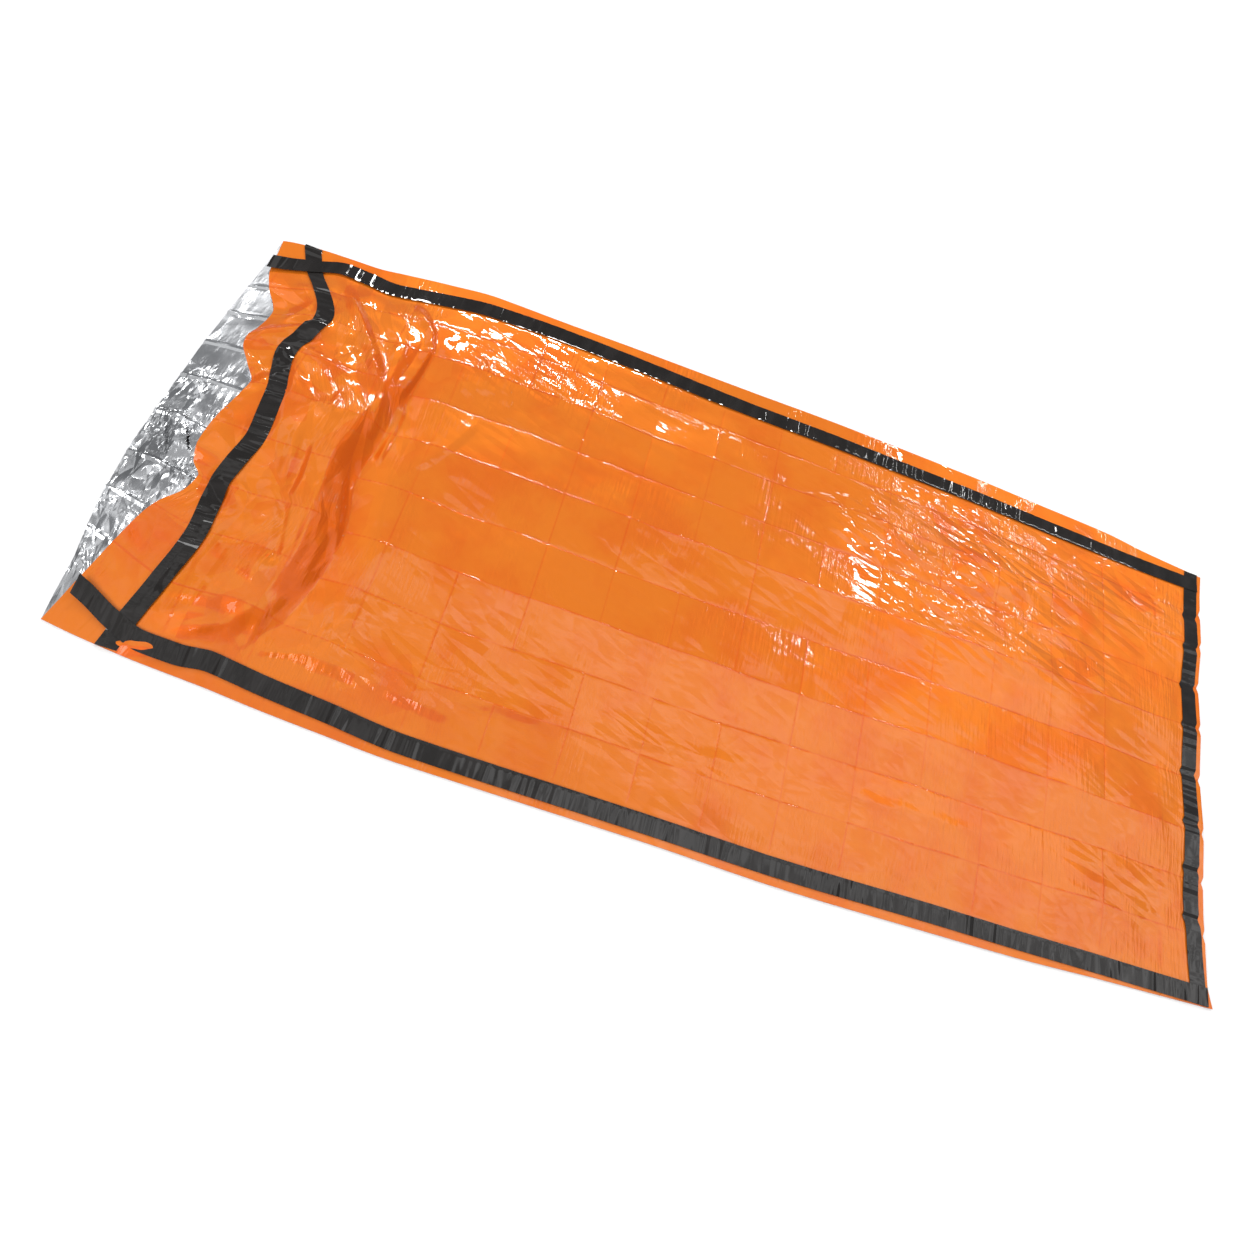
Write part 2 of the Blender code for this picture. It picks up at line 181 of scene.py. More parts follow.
# Loose folds, listed one by one. Each is a ridge from one point to another: x and y of
# both ends, how far its middle bows to the left of that line, its height (below 0
# it is a trough), half its width, and its lean, from -1 to 1: above 0 its left
# flank is the steeper one. Bow, height and width are in millimetres.
FOLDS_COLUMNS = ("x0", "y0", "x1", "y1", "bow", "height", "half_width", "lean")
FOLDS = (
    # the flap at the mouth and the face below it
    (-0.925, 0.135, -0.800, 0.228, 4, 10, 18, 0.5),
    (-0.895, 0.175, -0.815, 0.240, 0, -4.5, 13, 0.0),
    (-0.858, 0.145, -0.835, 0.105, 0, 3, 11, 0.3),
    (-0.890, 0.052, -0.838, 0.115, 0, -6, 14, 0.0),
    (-0.905, 0.300, -0.800, 0.290, 0, 2.5, 14, 0.3),
    (-0.870, -0.125, -0.800, -0.190, 0, -5, 18, 0.0),
    # the long ridges that meet over the drop
    (-0.826, 0.341, -0.675, 0.120, 5, 8.5, 12, 0.3),
    (-0.738, 0.400, -0.699, 0.361, 0, 5, 9, 0.0),
    (-0.705, 0.368, -0.652, 0.305, -2, 7, 10, 0.2),
    (-0.655, 0.318, -0.641, 0.262, 0, 5, 9, 0.2),
    (-0.637, 0.282, -0.656, 0.130, 4, 8, 10, 0.5),
    (-0.676, 0.130, -0.666, 0.030, 0, 6, 8, 0.4),
    (-0.640, 0.142, -0.643, -0.012, 2, 5, 8, 0.4),
    (-0.780, 0.330, -0.690, 0.215, 0, -3.5, 16, 0.0),
    # creases of the face over the mouth tape
    (-0.838, 0.163, -0.726, 0.131, 0, 4, 7, 0.3),
    (-0.840, 0.120, -0.784, 0.077, 0, 3, 6, 0.0),
    (-0.790, 0.080, -0.734, 0.045, -2, 3, 6, 0.0),
    (-0.740, 0.042, -0.737, 0.104, 0, 2.5, 6, 0.0),
    (-0.775, 0.205, -0.700, 0.190, 0, -3, 11, 0.3),
    (-0.746, -0.015, -0.739, -0.135, 3, -4.5, 9, 0.4),
    (-0.741, -0.120, -0.712, -0.250, 3, -4, 9, 0.4),
    (-0.770, 0.010, -0.760, -0.110, 0, 2.5, 9, 0.0),
    (-0.684, -0.035, -0.641, -0.190, 3, 5.5, 9, 0.4),
    (-0.705, -0.060, -0.690, -0.215, 0, 3.5, 8, 0.0),
    (-0.660, -0.120, -0.672, -0.245, 0, 3.5, 8, 0.3),
    # the fan of folds that runs out of the near corner
    (-0.816, -0.233, -0.704, -0.273, 3, 5.0, 22, -0.3),
    (-0.836, -0.288, -0.708, -0.304, -3, 2.5, 8, 0.3),
    (-0.850, -0.340, -0.722, -0.326, 2, -3, 10, 0.0),
    (-0.838, -0.392, -0.712, -0.332, 0, 3, 8, -0.3),
    (-0.822, -0.404, -0.742, -0.347, 3, 4.5, 10, -0.4),
    (-0.745, -0.346, -0.706, -0.372, 0, 3.5, 8, 0.0),
    (-0.708, -0.374, -0.678, -0.262, 4, 4.5, 10, -0.3),
    (-0.680, -0.268, -0.636, -0.165, 0, 3.5, 11, -0.3),
    (-0.700, -0.372, -0.600, -0.350, 3, 5, 11, -0.5),
    (-0.640, -0.350, -0.495, -0.364, 5, 4.5, 22, -0.4),
    (-0.625, -0.330, -0.560, -0.250, 0, 2.5, 9, 0.0),
    (-0.600, -0.240, -0.575, -0.120, 0, 2.5, 14, 0.0),
    # folds of the body beside the drop
    (-0.516, 0.165, -0.592, 0.005, 10, 3, 16, 0.4),
    (-0.560, 0.300, -0.520, 0.225, 0, 2.5, 8, 0.0),
    (-0.500, 0.270, -0.470, 0.190, 0, 2.5, 7, 0.2),
    (-0.470, 0.335, -0.400, 0.290, 0, 2.5, 8, 0.0),
    (-0.430, 0.285, -0.395, 0.235, 0, 2.5, 7, 0.2),
    # the near side
    (-0.500, -0.362, -0.380, -0.372, 0, 3.5, 18, -0.4),
    (-0.400, -0.345, -0.240, -0.336, 5, 3.5, 13, -0.4),
    (-0.170, -0.322, 0.120, -0.292, 0, 3, 11, -0.3),
    (0.180, -0.290, 0.560, -0.278, 0, 2.5, 11, -0.3),
    (0.660, -0.285, 0.850, -0.312, 0, 2.5, 14, -0.3),
    # the far side and the foot
    (-0.280, 0.345, -0.110, 0.318, 0, 2.5, 11, 0.3),
    (0.170, 0.350, 0.420, 0.262, 6, 3.5, 13, 0.3),
    (0.230, 0.290, 0.360, 0.205, -4, 3, 10, 0.3),
    (0.450, 0.355, 0.620, 0.270, 0, 3, 13, 0.2),
    (0.540, 0.262, 0.790, 0.150, 0, -2.5, 18, 0.2),
    (0.640, 0.330, 0.760, 0.255, 0, 2.5, 11, 0.3),
)
FOLD_TAPER = 0.25                   # share of a loose fold over which its end dies away
FOLD_ROUND = 0.0022                 # radius of its crest
LONG_ROUND = 0.0055                 # added radius when it runs along the bag

# Sizes of crumple laid over each other: size in metres, height as a share of the
# largest, how much longer each facet is along the bag (at the mouth and on the
# body), how round its creases are, and which random set it takes.
CRUMPLES_COLUMNS = ("size", "height", "mouth_stretch", "body_stretch", "blur", "seed")
CRUMPLES = ((0.085, 1.00, 1.2, 2.2, 0.02, 1), (0.042, 0.80, 1.4, 2.8, 0.06, 2),
            (0.021, 0.22, 1.3, 4.0, 0.12, 3))

# Places where the film is crumpled: centre, half length along the bag, half width
# across it, and how strongly, from 0 to 1.
CRUMPLED_COLUMNS = ("x", "y", "half_length", "half_width", "strength")
CRUMPLED = (
    (-0.780, 0.060, 0.180, 0.420, 0.9),
    (-0.480, 0.260, 0.180, 0.110, 0.5),
    (-0.570, -0.320, 0.240, 0.080, 0.8),
    (-0.150, -0.310, 0.380, 0.045, 0.4),
    (0.440, 0.250, 0.320, 0.110, 1.0),
    (0.560, 0.110, 0.280, 0.070, 0.9),
    (0.800, 0.280, 0.160, 0.100, 0.7),
    (0.780, -0.290, 0.150, 0.080, 0.5),
)

# Crumples of the back panel's open end: size and height in metres, random set, and
# how much of the height stays in its calm part.
BACK_CRUMPLES_COLUMNS = ("size", "height", "seed", "calm_share")
BACK_CRUMPLES = ((0.070, 0.0022, 1, 0.6), (0.026, 0.0012, 2, 0.0), (0.012, 0.0005, 3, 0.0))

# Lamps: place, aim, width and height of the face, its turn in its own plane in
# degrees, and how bright the face is.
LAMP_COLUMNS = ("name", "place", "aim", "width", "height", "turn", "brightness")
LAMPS = (
    ("overhead", (0.70, -0.40, 2.5), (0.70, -0.40, 0.0), 7.0, 5.2, 0, 1.14),
    ("front_left", (-2.6, -2.4, 2.2), (0.0, 0.0, 0.0), 2.4, 2.0, 0, 5.6),
    ("front_right", (2.4, -2.6, 2.0), (0.2, 0.0, 0.0), 2.2, 1.8, 0, 1.0),
    ("left_box", (-2.6, 1.9, 2.5), (-2.6, 1.9, 0.0), 2.0, 2.2, 0, 0.60),
    ("left_lamp", (-2.80, 2.60, 2.5), (-2.80, 2.60, 0.0), 0.16, 0.6, 40, 70.0),
    ("far_strip", (1.3, 4.6, 2.3), (1.0, 2.2, 0.0), 3.4, 0.12, 0, 10.0),
    ("far_bar", (2.32, 2.06, 2.5), (2.32, 2.06, 0.0), 1.70, 0.12, -18, 52.0),
    ("tape_bar", (2.30, 3.00, 2.5), (2.30, 3.00, 0.0), 2.0, 0.03, 0, 60.0),
    ("mouth_bar", (-0.80, 3.70, 2.5), (-0.80, 3.70, 0.0), 1.60, 0.24, 8, 70.0),
    ("low_lamp", (-1.48, 0.66, 2.5), (-1.48, 0.66, 0.0), 0.14, 0.10, 0, 80.0),
)
WORLD_COLOUR = (0.95, 0.97, 1.0, 1.0)
WORLD_STRENGTH = 0.22

CAMERA_PLACE = (-0.36804, -0.78826, 1.34617)
CAMERA_DOWN, CAMERA_TURN, CAMERA_ROLL = 62.61, 17.0, 34.44      # degrees
CAMERA_LENS, CAMERA_SENSOR = 25.84, 36.0                        # millimetres


# ---------------------------------------------------------------------------
# Settings that a user may change
# ---------------------------------------------------------------------------
class BagSizes(bpy.types.PropertyGroup):
    """Sizes of the film, the tapes and their folds."""
    film: bpy.props.FloatProperty(
        name="Film", description="Thickness of a panel as shown",
        default=0.0005, min=0.0002, max=0.0012, unit="LENGTH")
    tape: bpy.props.FloatProperty(
        name="Tape", description="Thickness of a tape as shown",
        default=0.0004, min=0.0002, max=0.0010, unit="LENGTH")
    tape_width: bpy.props.FloatProperty(
        name="Tape width", description="Width of every tape",
        default=0.031, min=0.020, max=0.050, unit="LENGTH")
    air: bpy.props.FloatProperty(
        name="Air", description="How high the air holds the front panel over the body",
        default=0.015, min=0.0, max=0.020, unit="LENGTH")
    pack_fold: bpy.props.FloatProperty(
        name="Pack folds", description="Height of a lengthwise pack fold",
        default=0.0028, min=0.0, max=0.004, unit="LENGTH")
    crease: bpy.props.FloatProperty(
        name="Creases", description="Height of the narrow crease along a pack fold",
        default=0.0006, min=0.0, max=0.002, unit="LENGTH")
    crease_width: bpy.props.FloatProperty(
        name="Crease width", description="Half the width of a crease",
        default=0.0014, min=0.001, max=0.006, unit="LENGTH")
    crumple: bpy.props.FloatProperty(
        name="Crumple", description="Height of the largest crumples",
        default=0.0042, min=0.0, max=0.006, unit="LENGTH")
    seed: bpy.props.IntProperty(
        name="Seed", description="Which set of random crumples is laid", default=4, min=0)


class BagColours(bpy.types.PropertyGroup):
    """Colours of the bag and of the floor."""
    orange: bpy.props.FloatVectorProperty(
        name="Film outside", description="Orange print on the outside of the film",
        subtype="COLOR", size=4, min=0.0, max=1.0, default=(0.78, 0.190, 0.013, 1.0))
    # painted shade: a deeper orange that the material lays on steep flanks, along creases and on
    # crumpled facets
    painted_shade_orange: bpy.props.FloatVectorProperty(
        name="Film outside, deep", description="Orange on steep flanks, creases and crumples",
        subtype="COLOR", size=4, min=0.0, max=1.0, default=(0.73, 0.122, 0.008, 1.0))
    silver: bpy.props.FloatVectorProperty(
        name="Film inside", description="Bare metal on the inside of the film",
        subtype="COLOR", size=4, min=0.0, max=1.0, default=(0.86, 0.87, 0.89, 1.0))
    black: bpy.props.FloatVectorProperty(
        name="Tape", description="Black of the tapes",
        subtype="COLOR", size=4, min=0.0, max=1.0, default=(0.014, 0.012, 0.011, 1.0))
    floor: bpy.props.FloatVectorProperty(
        name="Floor", description="Pale floor",
        subtype="COLOR", size=4, min=0.0, max=1.0, default=(0.97, 0.97, 0.97, 1.0))


# ---------------------------------------------------------------------------
# Reading the tables
# ---------------------------------------------------------------------------
def through(knots, values, at, soft=1.0):
    """A smooth line through points, without overshoot. knots and values hold one
    array for each point, so that the points may differ from place to place. Below a
    softness of 1 the line runs straighter between the points."""
    knots = [np.broadcast_to(np.asarray(k, float), at.shape) for k in knots]
    values = [np.broadcast_to(np.asarray(v, float), at.shape) for v in values]
    rises = [(v1 - v0) / (k1 - k0)
             for k0, k1, v0, v1 in zip(knots, knots[1:], values, values[1:])]
    slopes = [rises[0]]
    for low, high in zip(rises, rises[1:]):
        same_way = low * high > 0
        total = np.where(same_way, low + high, 1.0)
        slopes.append(np.where(same_way, 2 * low * high / total, 0.0))
    slopes.append(rises[-1])
    result = np.where(at < knots[0], values[0], values[-1])
    for index in range(len(knots) - 1):
        width = knots[index + 1] - knots[index]
        t = (at - knots[index]) / width
        inside = (t >= 0) & (t <= 1)
        t = np.clip(t, 0, 1)
        t2, t3 = t * t, t * t * t
        curve = ((2 * t3 - 3 * t2 + 1) * values[index] + (t3 - 2 * t2 + t) * width * slopes[index]
                 + (3 * t2 - 2 * t3) * values[index + 1] + (t3 - t2) * width * slopes[index + 1])
        straight = values[index] + (values[index + 1] - values[index]) * t
        result = np.where(inside, soft * curve + (1 - soft) * straight, result)
    return result


def read(table, column, at):
    """A column of a table at the given places along its first column."""
    at = np.asarray(at, float)
    return through([row[0] for row in table], [row[column] for row in table], at)


def side(name, x):
    """A column of SIDES at x, in metres."""
    return read(SIDES, SIDES_COLUMNS.index(name), x) * MM


def mouth(name, share):
    """A column of MOUTH at a share of the width between the tapes, in metres."""
    return read(MOUTH, MOUTH_COLUMNS.index(name), share) * MM


def ease(low, high, value):
    """0 below low, 1 above high, and a soft step between them."""
    t = np.clip((value - low) / (high - low), 0, 1)
    return t * t * (3 - 2 * t)


def seams(x, tape_width):
    """Y of the near edge, the near tape's inner line, the far one's and the far edge."""
    near_edge = -HALF_WIDTH + side("near_inset", x)
    far_edge = HALF_WIDTH - side("far_inset", x)
    near_inner = near_edge + side("near_tape", x) + tape_width / 2
    far_inner = far_edge - side("far_tape", x) - tape_width / 2
    return near_edge, near_inner, far_inner, far_edge


def between_tapes(x, y, sizes):
    """Share of the width between the tapes, and metres to the nearer tape's inner line."""
    _, near_inner, far_inner, _ = seams(x, sizes.tape_width)
    share = np.clip((y - near_inner) / (far_inner - near_inner), 0, 1)
    return share, np.minimum(y - near_inner, far_inner - y)


def from_edge(share):
    """Share of the width from edge to edge, of a share between the tapes."""
    return MARGIN_SHARE + (1 - 2 * MARGIN_SHARE) * share


# ---------------------------------------------------------------------------
# Relief of the film
# ---------------------------------------------------------------------------
def facets(x, y, size, seed, stretch=1.0):
    """Flat facets at random heights from -1 to 1, with sharp creases between them.

    The corners are a jittered lattice. stretch makes the facets longer along x."""
    u, v = x / (size * stretch), y / size
    first_u, first_v = int(np.floor(u.min())) - 3, int(np.floor(v.min())) - 3
    shape = (int(np.ceil(u.max())) - first_u + 5, int(np.ceil(v.max())) - first_v + 5)
    chance = np.random.default_rng(seed)
    corner_u = chance.uniform(-0.36, 0.36, shape) + np.arange(shape[0])[:, None] + first_u
    corner_v = chance.uniform(-0.36, 0.36, shape) + np.arange(shape[1])[None, :] + first_v
    height = chance.uniform(-1, 1, shape)
    slant = chance.random(shape) < 0.5
    cell_u = np.floor(u).astype(int) - first_u
    cell_v = np.floor(v).astype(int) - first_v
    result = np.zeros_like(u)
    for du in (-1, 0, 1):
        for dv in (-1, 0, 1):
            i, j = cell_u + du, cell_v + dv
            corners = [(corner_u[a, b], corner_v[a, b], height[a, b])
                       for a, b in ((i, j), (i + 1, j), (i + 1, j + 1), (i, j + 1))]
            one_way = slant[i, j]
            for way, triangles in ((True, ((0, 1, 2), (0, 2, 3))), (False, ((0, 1, 3), (1, 2, 3)))):
                for triangle in triangles:
                    (u0, v0, h0), (u1, v1, h1), (u2, v2, h2) = (corners[k] for k in triangle)
                    area = (u1 - u0) * (v2 - v0) - (u2 - u0) * (v1 - v0)
                    w1 = ((u - u0) * (v2 - v0) - (u2 - u0) * (v - v0)) / area
                    w2 = ((u1 - u0) * (v - v0) - (u - u0) * (v1 - v0)) / area
                    inside = (one_way == way) & (w1 >= 0) & (w2 >= 0) & (w1 + w2 <= 1)
                    result = np.where(inside, h0 + w1 * (h1 - h0) + w2 * (h2 - h0), result)
    return result


def soft_facets(x, y, size, seed, stretch=1.0, blur=0.06):
    """Facets whose creases are rounded over a share of their size."""
    step = size * blur
    return sum(facets(x + dx * step * stretch, y + dy * step, size, seed, stretch)
               for dx, dy in ((-1, -1), (1, -1), (-1, 1), (1, 1), (0, 0))) / 5


def wander(x, step, seed):
    """A smooth random line along x, from -1 to 1, with a knot every step."""
    chance = np.random.default_rng(seed)
    knots = chance.uniform(-1, 1, 64)
    place = (x + 1.2) / step
    low = np.clip(np.floor(place).astype(int), 0, 62)
    t = place - np.floor(place)
    t = t * t * (3 - 2 * t)
    return knots[low % 64] * (1 - t) + knots[(low + 1) % 64] * t


def fold_lines(x, share, seed):
    """Number of the pack fold on the near side of a place, the place between it and
    the next from 0 to 1, and how far the folds stray there, as a share."""
    lines = np.array([0.0] + [fold[0] for fold in PACK_FOLDS] + [1.0])
    row = np.clip(np.searchsorted(lines, share, side="right") - 1, 0, len(lines) - 2)
    between = (share - lines[row]) / (lines[row + 1] - lines[row])
    strays = []
    for line in (row, row + 1):
        loose = (line > 0) & (line < len(lines) - 1)
        strays.append(np.where(loose, FOLD_STRAY * wander(x + 0.37 * line, 0.085, seed), 0.0))
    return lines, row, between, strays[0] * (1 - between) + strays[1] * between


def pack_relief(x, share, sizes):
    """Height of the pack folds: flat cells that meet at ridges and valleys, with a
    narrow crease along every line, stronger in some cells than in others."""
    chance = np.random.default_rng(sizes.seed + 11)
    ways = np.array([0.0] + [fold[1] for fold in PACK_FOLDS] + [0.0])
    columns = CROSS_FOLD_COLUMNS
    stray = fold_lines(x, share, sizes.seed)[3]
    lines, row, across_cell, _ = fold_lines(x, share - stray, sizes.seed)
    share = share - stray
    nodes = ways[:, None] * sizes.pack_fold * chance.uniform(0.2, 1.3, (len(lines), columns))
    nodes += sizes.pack_fold * chance.uniform(-0.8, 0.8, nodes.shape)
    nodes[[0, -1]] = 0
    place = np.clip((x - CROSS_FOLD_START) / CROSS_FOLD_PITCH + CROSS_FOLDS_BEFORE, 0,
                    columns - 1.001)
    column = np.floor(place).astype(int)
    along_cell = place - column
    near = nodes[row, column] * (1 - along_cell) + nodes[row, column + 1] * along_cell
    far = nodes[row + 1, column] * (1 - along_cell) + nodes[row + 1, column + 1] * along_cell
    relief = near * (1 - across_cell) + far * across_cell

    nearest = np.where(across_cell < 0.5, row, row + 1)
    off = (share - lines[nearest]) * LAID_BETWEEN_TAPES
    depth = ways[nearest] * (0.50 + 0.35 * wander(x + 0.37 * nearest, 0.031, sizes.seed + 5)
                             + 0.45 * wander(x + 0.11 * nearest, 0.009, sizes.seed + 6))
    along = np.exp(-(off / sizes.crease_width) ** 2)
    crossing = np.round(place).astype(int)
    off = (place - crossing) * CROSS_FOLD_PITCH
    across_depth = chance.choice([-0.8, -0.5, 0.0, 0.5, 0.9],
                                 (len(lines), columns + 1))[row, crossing]
    across = np.exp(-(off / sizes.crease_width) ** 2)
    creased = np.maximum(along * np.clip(np.abs(depth) + 0.2, 0, 1),
                         0.7 * across * np.abs(across_depth))
    return relief + sizes.crease * (depth * along + 0.6 * across_depth * across), creased


def body_lift(x, share, sizes):
    """Height of the air-filled body above the seam, without its folds."""
    crown = sizes.air * (1 - np.abs(2 * share - 1) ** 3)
    fall = (FOOT_FALL_END - x) / (FOOT_FALL_END - FOOT_FALL_START)
    return crown * np.clip(fall, 0, 1) ** 0.8


def crumpled(x, y):
    """How strongly the film is crumpled at a place, from 0 to 1."""
    strength = np.full_like(x, CRUMPLED_ANYWHERE)
    for cx, cy, half_length, half_width, most in CRUMPLED:
        away = ((x - cx) / half_length) ** 2 + ((y - cy) / half_width) ** 2
        strength = np.maximum(strength, most * np.exp(-away ** 2))
    return strength


def beside_line(x, y, x0, y0, x1, y1):
    """How far along a line a place is, from 0 to 1, how far to its left in metres,
    and the line's run along the bag and its length."""
    run_x, run_y = x1 - x0, y1 - y0
    length = math.hypot(run_x, run_y)
    along = ((x - x0) * run_x + (y - y0) * run_y) / length ** 2
    return along, ((y - y0) * run_x - (x - x0) * run_y) / length, run_x, length


def loose_folds(x, y):
    """Height that the listed loose folds add at a place."""
    total = np.zeros_like(x)
    for x0, y0, x1, y1, bow, height, half_width, lean in FOLDS:
        along, off, run_x, length = beside_line(x, y, x0, y0, x1, y1)
        off = off - bow * MM * 4 * along * (1 - along)
        ends = ease(0, FOLD_TAPER, along) * ease(0, FOLD_TAPER, 1 - along)
        width = half_width * MM * np.where(off > 0, 1 - lean, 1 + lean)
        crest = FOLD_ROUND + LONG_ROUND * abs(run_x) / length
        flank = np.hypot(off, crest) / (width + 0.5 * crest)
        total += height * MM * ends * np.clip(1.12 - flank, 0, None) ** 1.1
    return total


def inner_folds(x, y, share):
    """Height of the ridges that the pack folds leave in the open part of the back
    panel, with one soft tube of film between two of them."""
    ridges = np.zeros_like(x)
    for index, (line, _) in enumerate(PACK_FOLDS):
        off = (share - line) * LAID_BETWEEN_TAPES - 0.004 * wander(x + 0.2 * index, 0.05, 9)
        ridges = np.maximum(ridges, INNER_RIDGE * np.clip(1 - np.abs(off) / 0.0065, 0, None))
    x0, y0, x1, y1, half_width = INNER_TUBE
    along, off, _, _ = beside_line(x, y, x0, y0, x1, y1)
    tube = np.sqrt(np.clip(1 - (off / half_width) ** 2, 0, None))
    return ridges + INNER_TUBE_HEIGHT * tube * ease(0, 0.2, along) * ease(0, 0.2, 1 - along)


def foot_pleats(x, share):
    """Height of the zigzag in which both panels' foot end lies, from fold to fold."""
    lines = [0.0] + [fold[0] for fold in PACK_FOLDS] + [1.0]
    tops = [0.0] + [FOOT_PLEAT * max(fold[1], 0) for fold in PACK_FOLDS] + [0.0]
    return np.interp(share, lines, tops) * ease(0.84, 0.95, x)


def pleat(x, y):
    """Height of the fold of film that lies over the near tape beside the mouth."""
    x0, x1, y0, half_width = PLEAT
    along = (x - x0) / (x1 - x0)
    ends = np.clip(np.minimum(along / 0.3, (1 - along) / 0.5), 0, 1)
    flank = np.abs(y - y0 - 0.010 * (2 * along - 1)) / half_width
    return PLEAT_HEIGHT * np.clip(ends - flank, 0, None)


def panel_height(x, y, sizes, pleated=True):
    """Height of the front panel's outer face over the floor, at any place on it.

    The near tape runs under the pleat, so its own height leaves the pleat out."""
    x, y = np.asarray(x, float), np.asarray(y, float)
    near_edge, near_inner, far_inner, far_edge = seams(x, sizes.tape_width)
    share, room = between_tapes(x, y, sizes)
    stray = read(DROP_STRAY, 1, share) * MM
    stations = (
        (-HALF_LENGTH + mouth("edge_x", share), mouth("edge_z", share)),
        (-HALF_LENGTH + mouth("tape_x", share), mouth("tape_z", share)),
        (SHOULDER_X + 0.4 * stray, mouth("shoulder_z", share)),
        (CREST_X + stray, mouth("crest_z", share)),
        (DROP_X + stray, mouth("drop_z", share)),
        (SWELL_X + 0.6 * stray, mouth("swell_z", share)),
        (BODY_X, body_lift(np.full_like(x, BODY_X), share, sizes)),
        (BODY_START_X, body_lift(x, share, sizes)),
    )
    lift = through([knot for knot, _ in stations], [value for _, value in stations], x,
                   MOUTH_SOFTNESS)
    lift = np.where(x > BODY_START_X, body_lift(x, share, sizes), lift)

    # inside the seams the film is free to fold
    free = ease(0.002, 0.045, room)
    foot_free = 1 - ease(HALF_LENGTH - 0.16, FOOT_FALL_END, x)
    body = ease(-0.62, -0.50, x)
    lift = lift + (pack_relief(x, share, sizes)[0] * (0.5 + 0.5 * body) * foot_free
                   * ease(0, 0.03, room))
    height, size, stretch, blur = SWELL
    lift = lift + height * body * free * foot_free * soft_facets(x, y, size, sizes.seed + 7,
                                                                 stretch, blur)
    lift = lift + loose_folds(x, y) * free * foot_free
    strength = crumpled(x, y) * free
    off_tape = ease(0.012, 0.026, np.abs(x + HALF_LENGTH - mouth("tape_x", share)))
    for size, height, mouth_stretch, body_stretch, blur, seed in CRUMPLES:
        relief = soft_facets(x, y, size, sizes.seed + seed, mouth_stretch, blur) * (1 - body)
        relief = relief + body * soft_facets(x, y, size, sizes.seed + seed, body_stretch, blur)
        lift = lift + relief * height * sizes.crumple * strength * (0.25 + 0.75 * off_tape)

    # outside the inner lines it falls through the tape to the edge
    for inner, edge in ((near_inner, near_edge), (far_inner, far_edge)):
        out = (inner - y) * np.sign(inner - edge)
        width = np.abs(inner - edge)
        fall = np.interp(out / width, (0, 0.55, 1), (1, TAPE_OUTER_LIFT, 0))
        lift = np.where(out > 0, lift * fall, lift)
    lift = np.clip(lift, 0, None) + foot_pleats(x, share)
    return SEAT + sizes.film + lift + (pleat(x, y) if pleated else 0.0)


# ---------------------------------------------------------------------------
# Grids
# ---------------------------------------------------------------------------
def creased(x, y, sizes):
    """How near a place is to a pack crease, from 0 to 1."""
    share, room = between_tapes(x, y, sizes)
    return pack_relief(x, share, sizes)[1] * ease(0, 0.02, room)


def beside(low, high, count, metres, near=(0.0013, 0.0028)):
    """Places from low up to high: evenly spread, with a few close to both ends.
    metres is how many metres one unit of low and high is."""
    near = [step / metres for step in near]
    inner = np.linspace(low + near[-1], high - near[-1], count)
    return [low] + [low + step for step in near[:-1]] + list(inner) + [
        high - step for step in reversed(near[:-1])]


def panel_rows(spacing, margin_rows):
    """Rows of a panel as (band, share): bands are -1 near margin, 0 between the
    tapes and 1 far margin."""
    shares = [0.0] + [fold[0] for fold in PACK_FOLDS] + [1.0]
    rows = [(-1, index / margin_rows) for index in range(margin_rows)]
    for low, high in zip(shares, shares[1:]):
        count = round((high - low) * LAID_BETWEEN_TAPES / spacing)
        rows += [(0, share) for share in beside(low, high, count, LAID_BETWEEN_TAPES)]
    return rows + [(1, index / margin_rows) for index in range(margin_rows + 1)]


def panel_columns(mouth_step, body_step):
    """Places along the bag, close together at the mouth and beside cross folds."""
    first = CROSS_FOLD_START
    stops = list(np.linspace(-HALF_LENGTH, first, round((HALF_LENGTH + first) / mouth_step),
                             endpoint=False))
    while first < HALF_LENGTH - 0.03:
        end = min(first + CROSS_FOLD_PITCH, HALF_LENGTH)
        stops += beside(first, end, round((end - first) / body_step), 1.0)
        first = end
    return np.array(stops + [HALF_LENGTH])


def grid_places(columns, rows, sizes, mouth_offset, foot_offset):
    """X and Y of every crossing of the columns and rows."""
    band = np.array([row[0] for row in rows])[None, :]
    share = np.array([row[1] for row in rows])[None, :]
    nominal = columns[:, None] + 0 * share
    whole = np.where(band < 0, MARGIN_SHARE * share,
                     np.where(band > 0, from_edge(1) + MARGIN_SHARE * share, from_edge(share)))
    into_mouth = 1 - ease(-HALF_LENGTH, BODY_X, nominal)
    into_foot = ease(0.80, HALF_LENGTH, nominal)
    x = nominal + mouth_offset(band, share, whole) * into_mouth - foot_offset(whole) * into_foot
    near_edge, near_inner, far_inner, far_edge = seams(x, sizes.tape_width)
    inside = share + fold_lines(x, share, sizes.seed)[3]
    y = np.where(band < 0, near_edge + share * (near_inner - near_edge),
                 np.where(band > 0, far_inner + share * (far_edge - far_inner),
                          near_inner + inside * (far_inner - near_inner)))
    return x, y


def front_mouth_offset(band, share, _):
    """How far the front panel's mouth edge lies behind the mouth lip."""
    edge = mouth("edge_x", np.where(band == 0, share, np.where(band < 0, 0.0, 1.0)))
    column = MOUTH_COLUMNS.index("edge_x")
    near_edge, near_tape, far_tape, far_edge = [MOUTH[row][column] for row in (0, 1, -2, -1)]
    near = (near_edge + (near_tape - near_edge) * share) * MM
    far = (far_tape + (far_edge - far_tape) * share) * MM
    return np.where(band < 0, near, np.where(band > 0, far, edge))


def back_mouth_offset(_, __, whole):
    """How far the back panel's mouth lip lies inside HALF_LENGTH."""
    return read(MOUTH_LIP, 1, whole) * MM


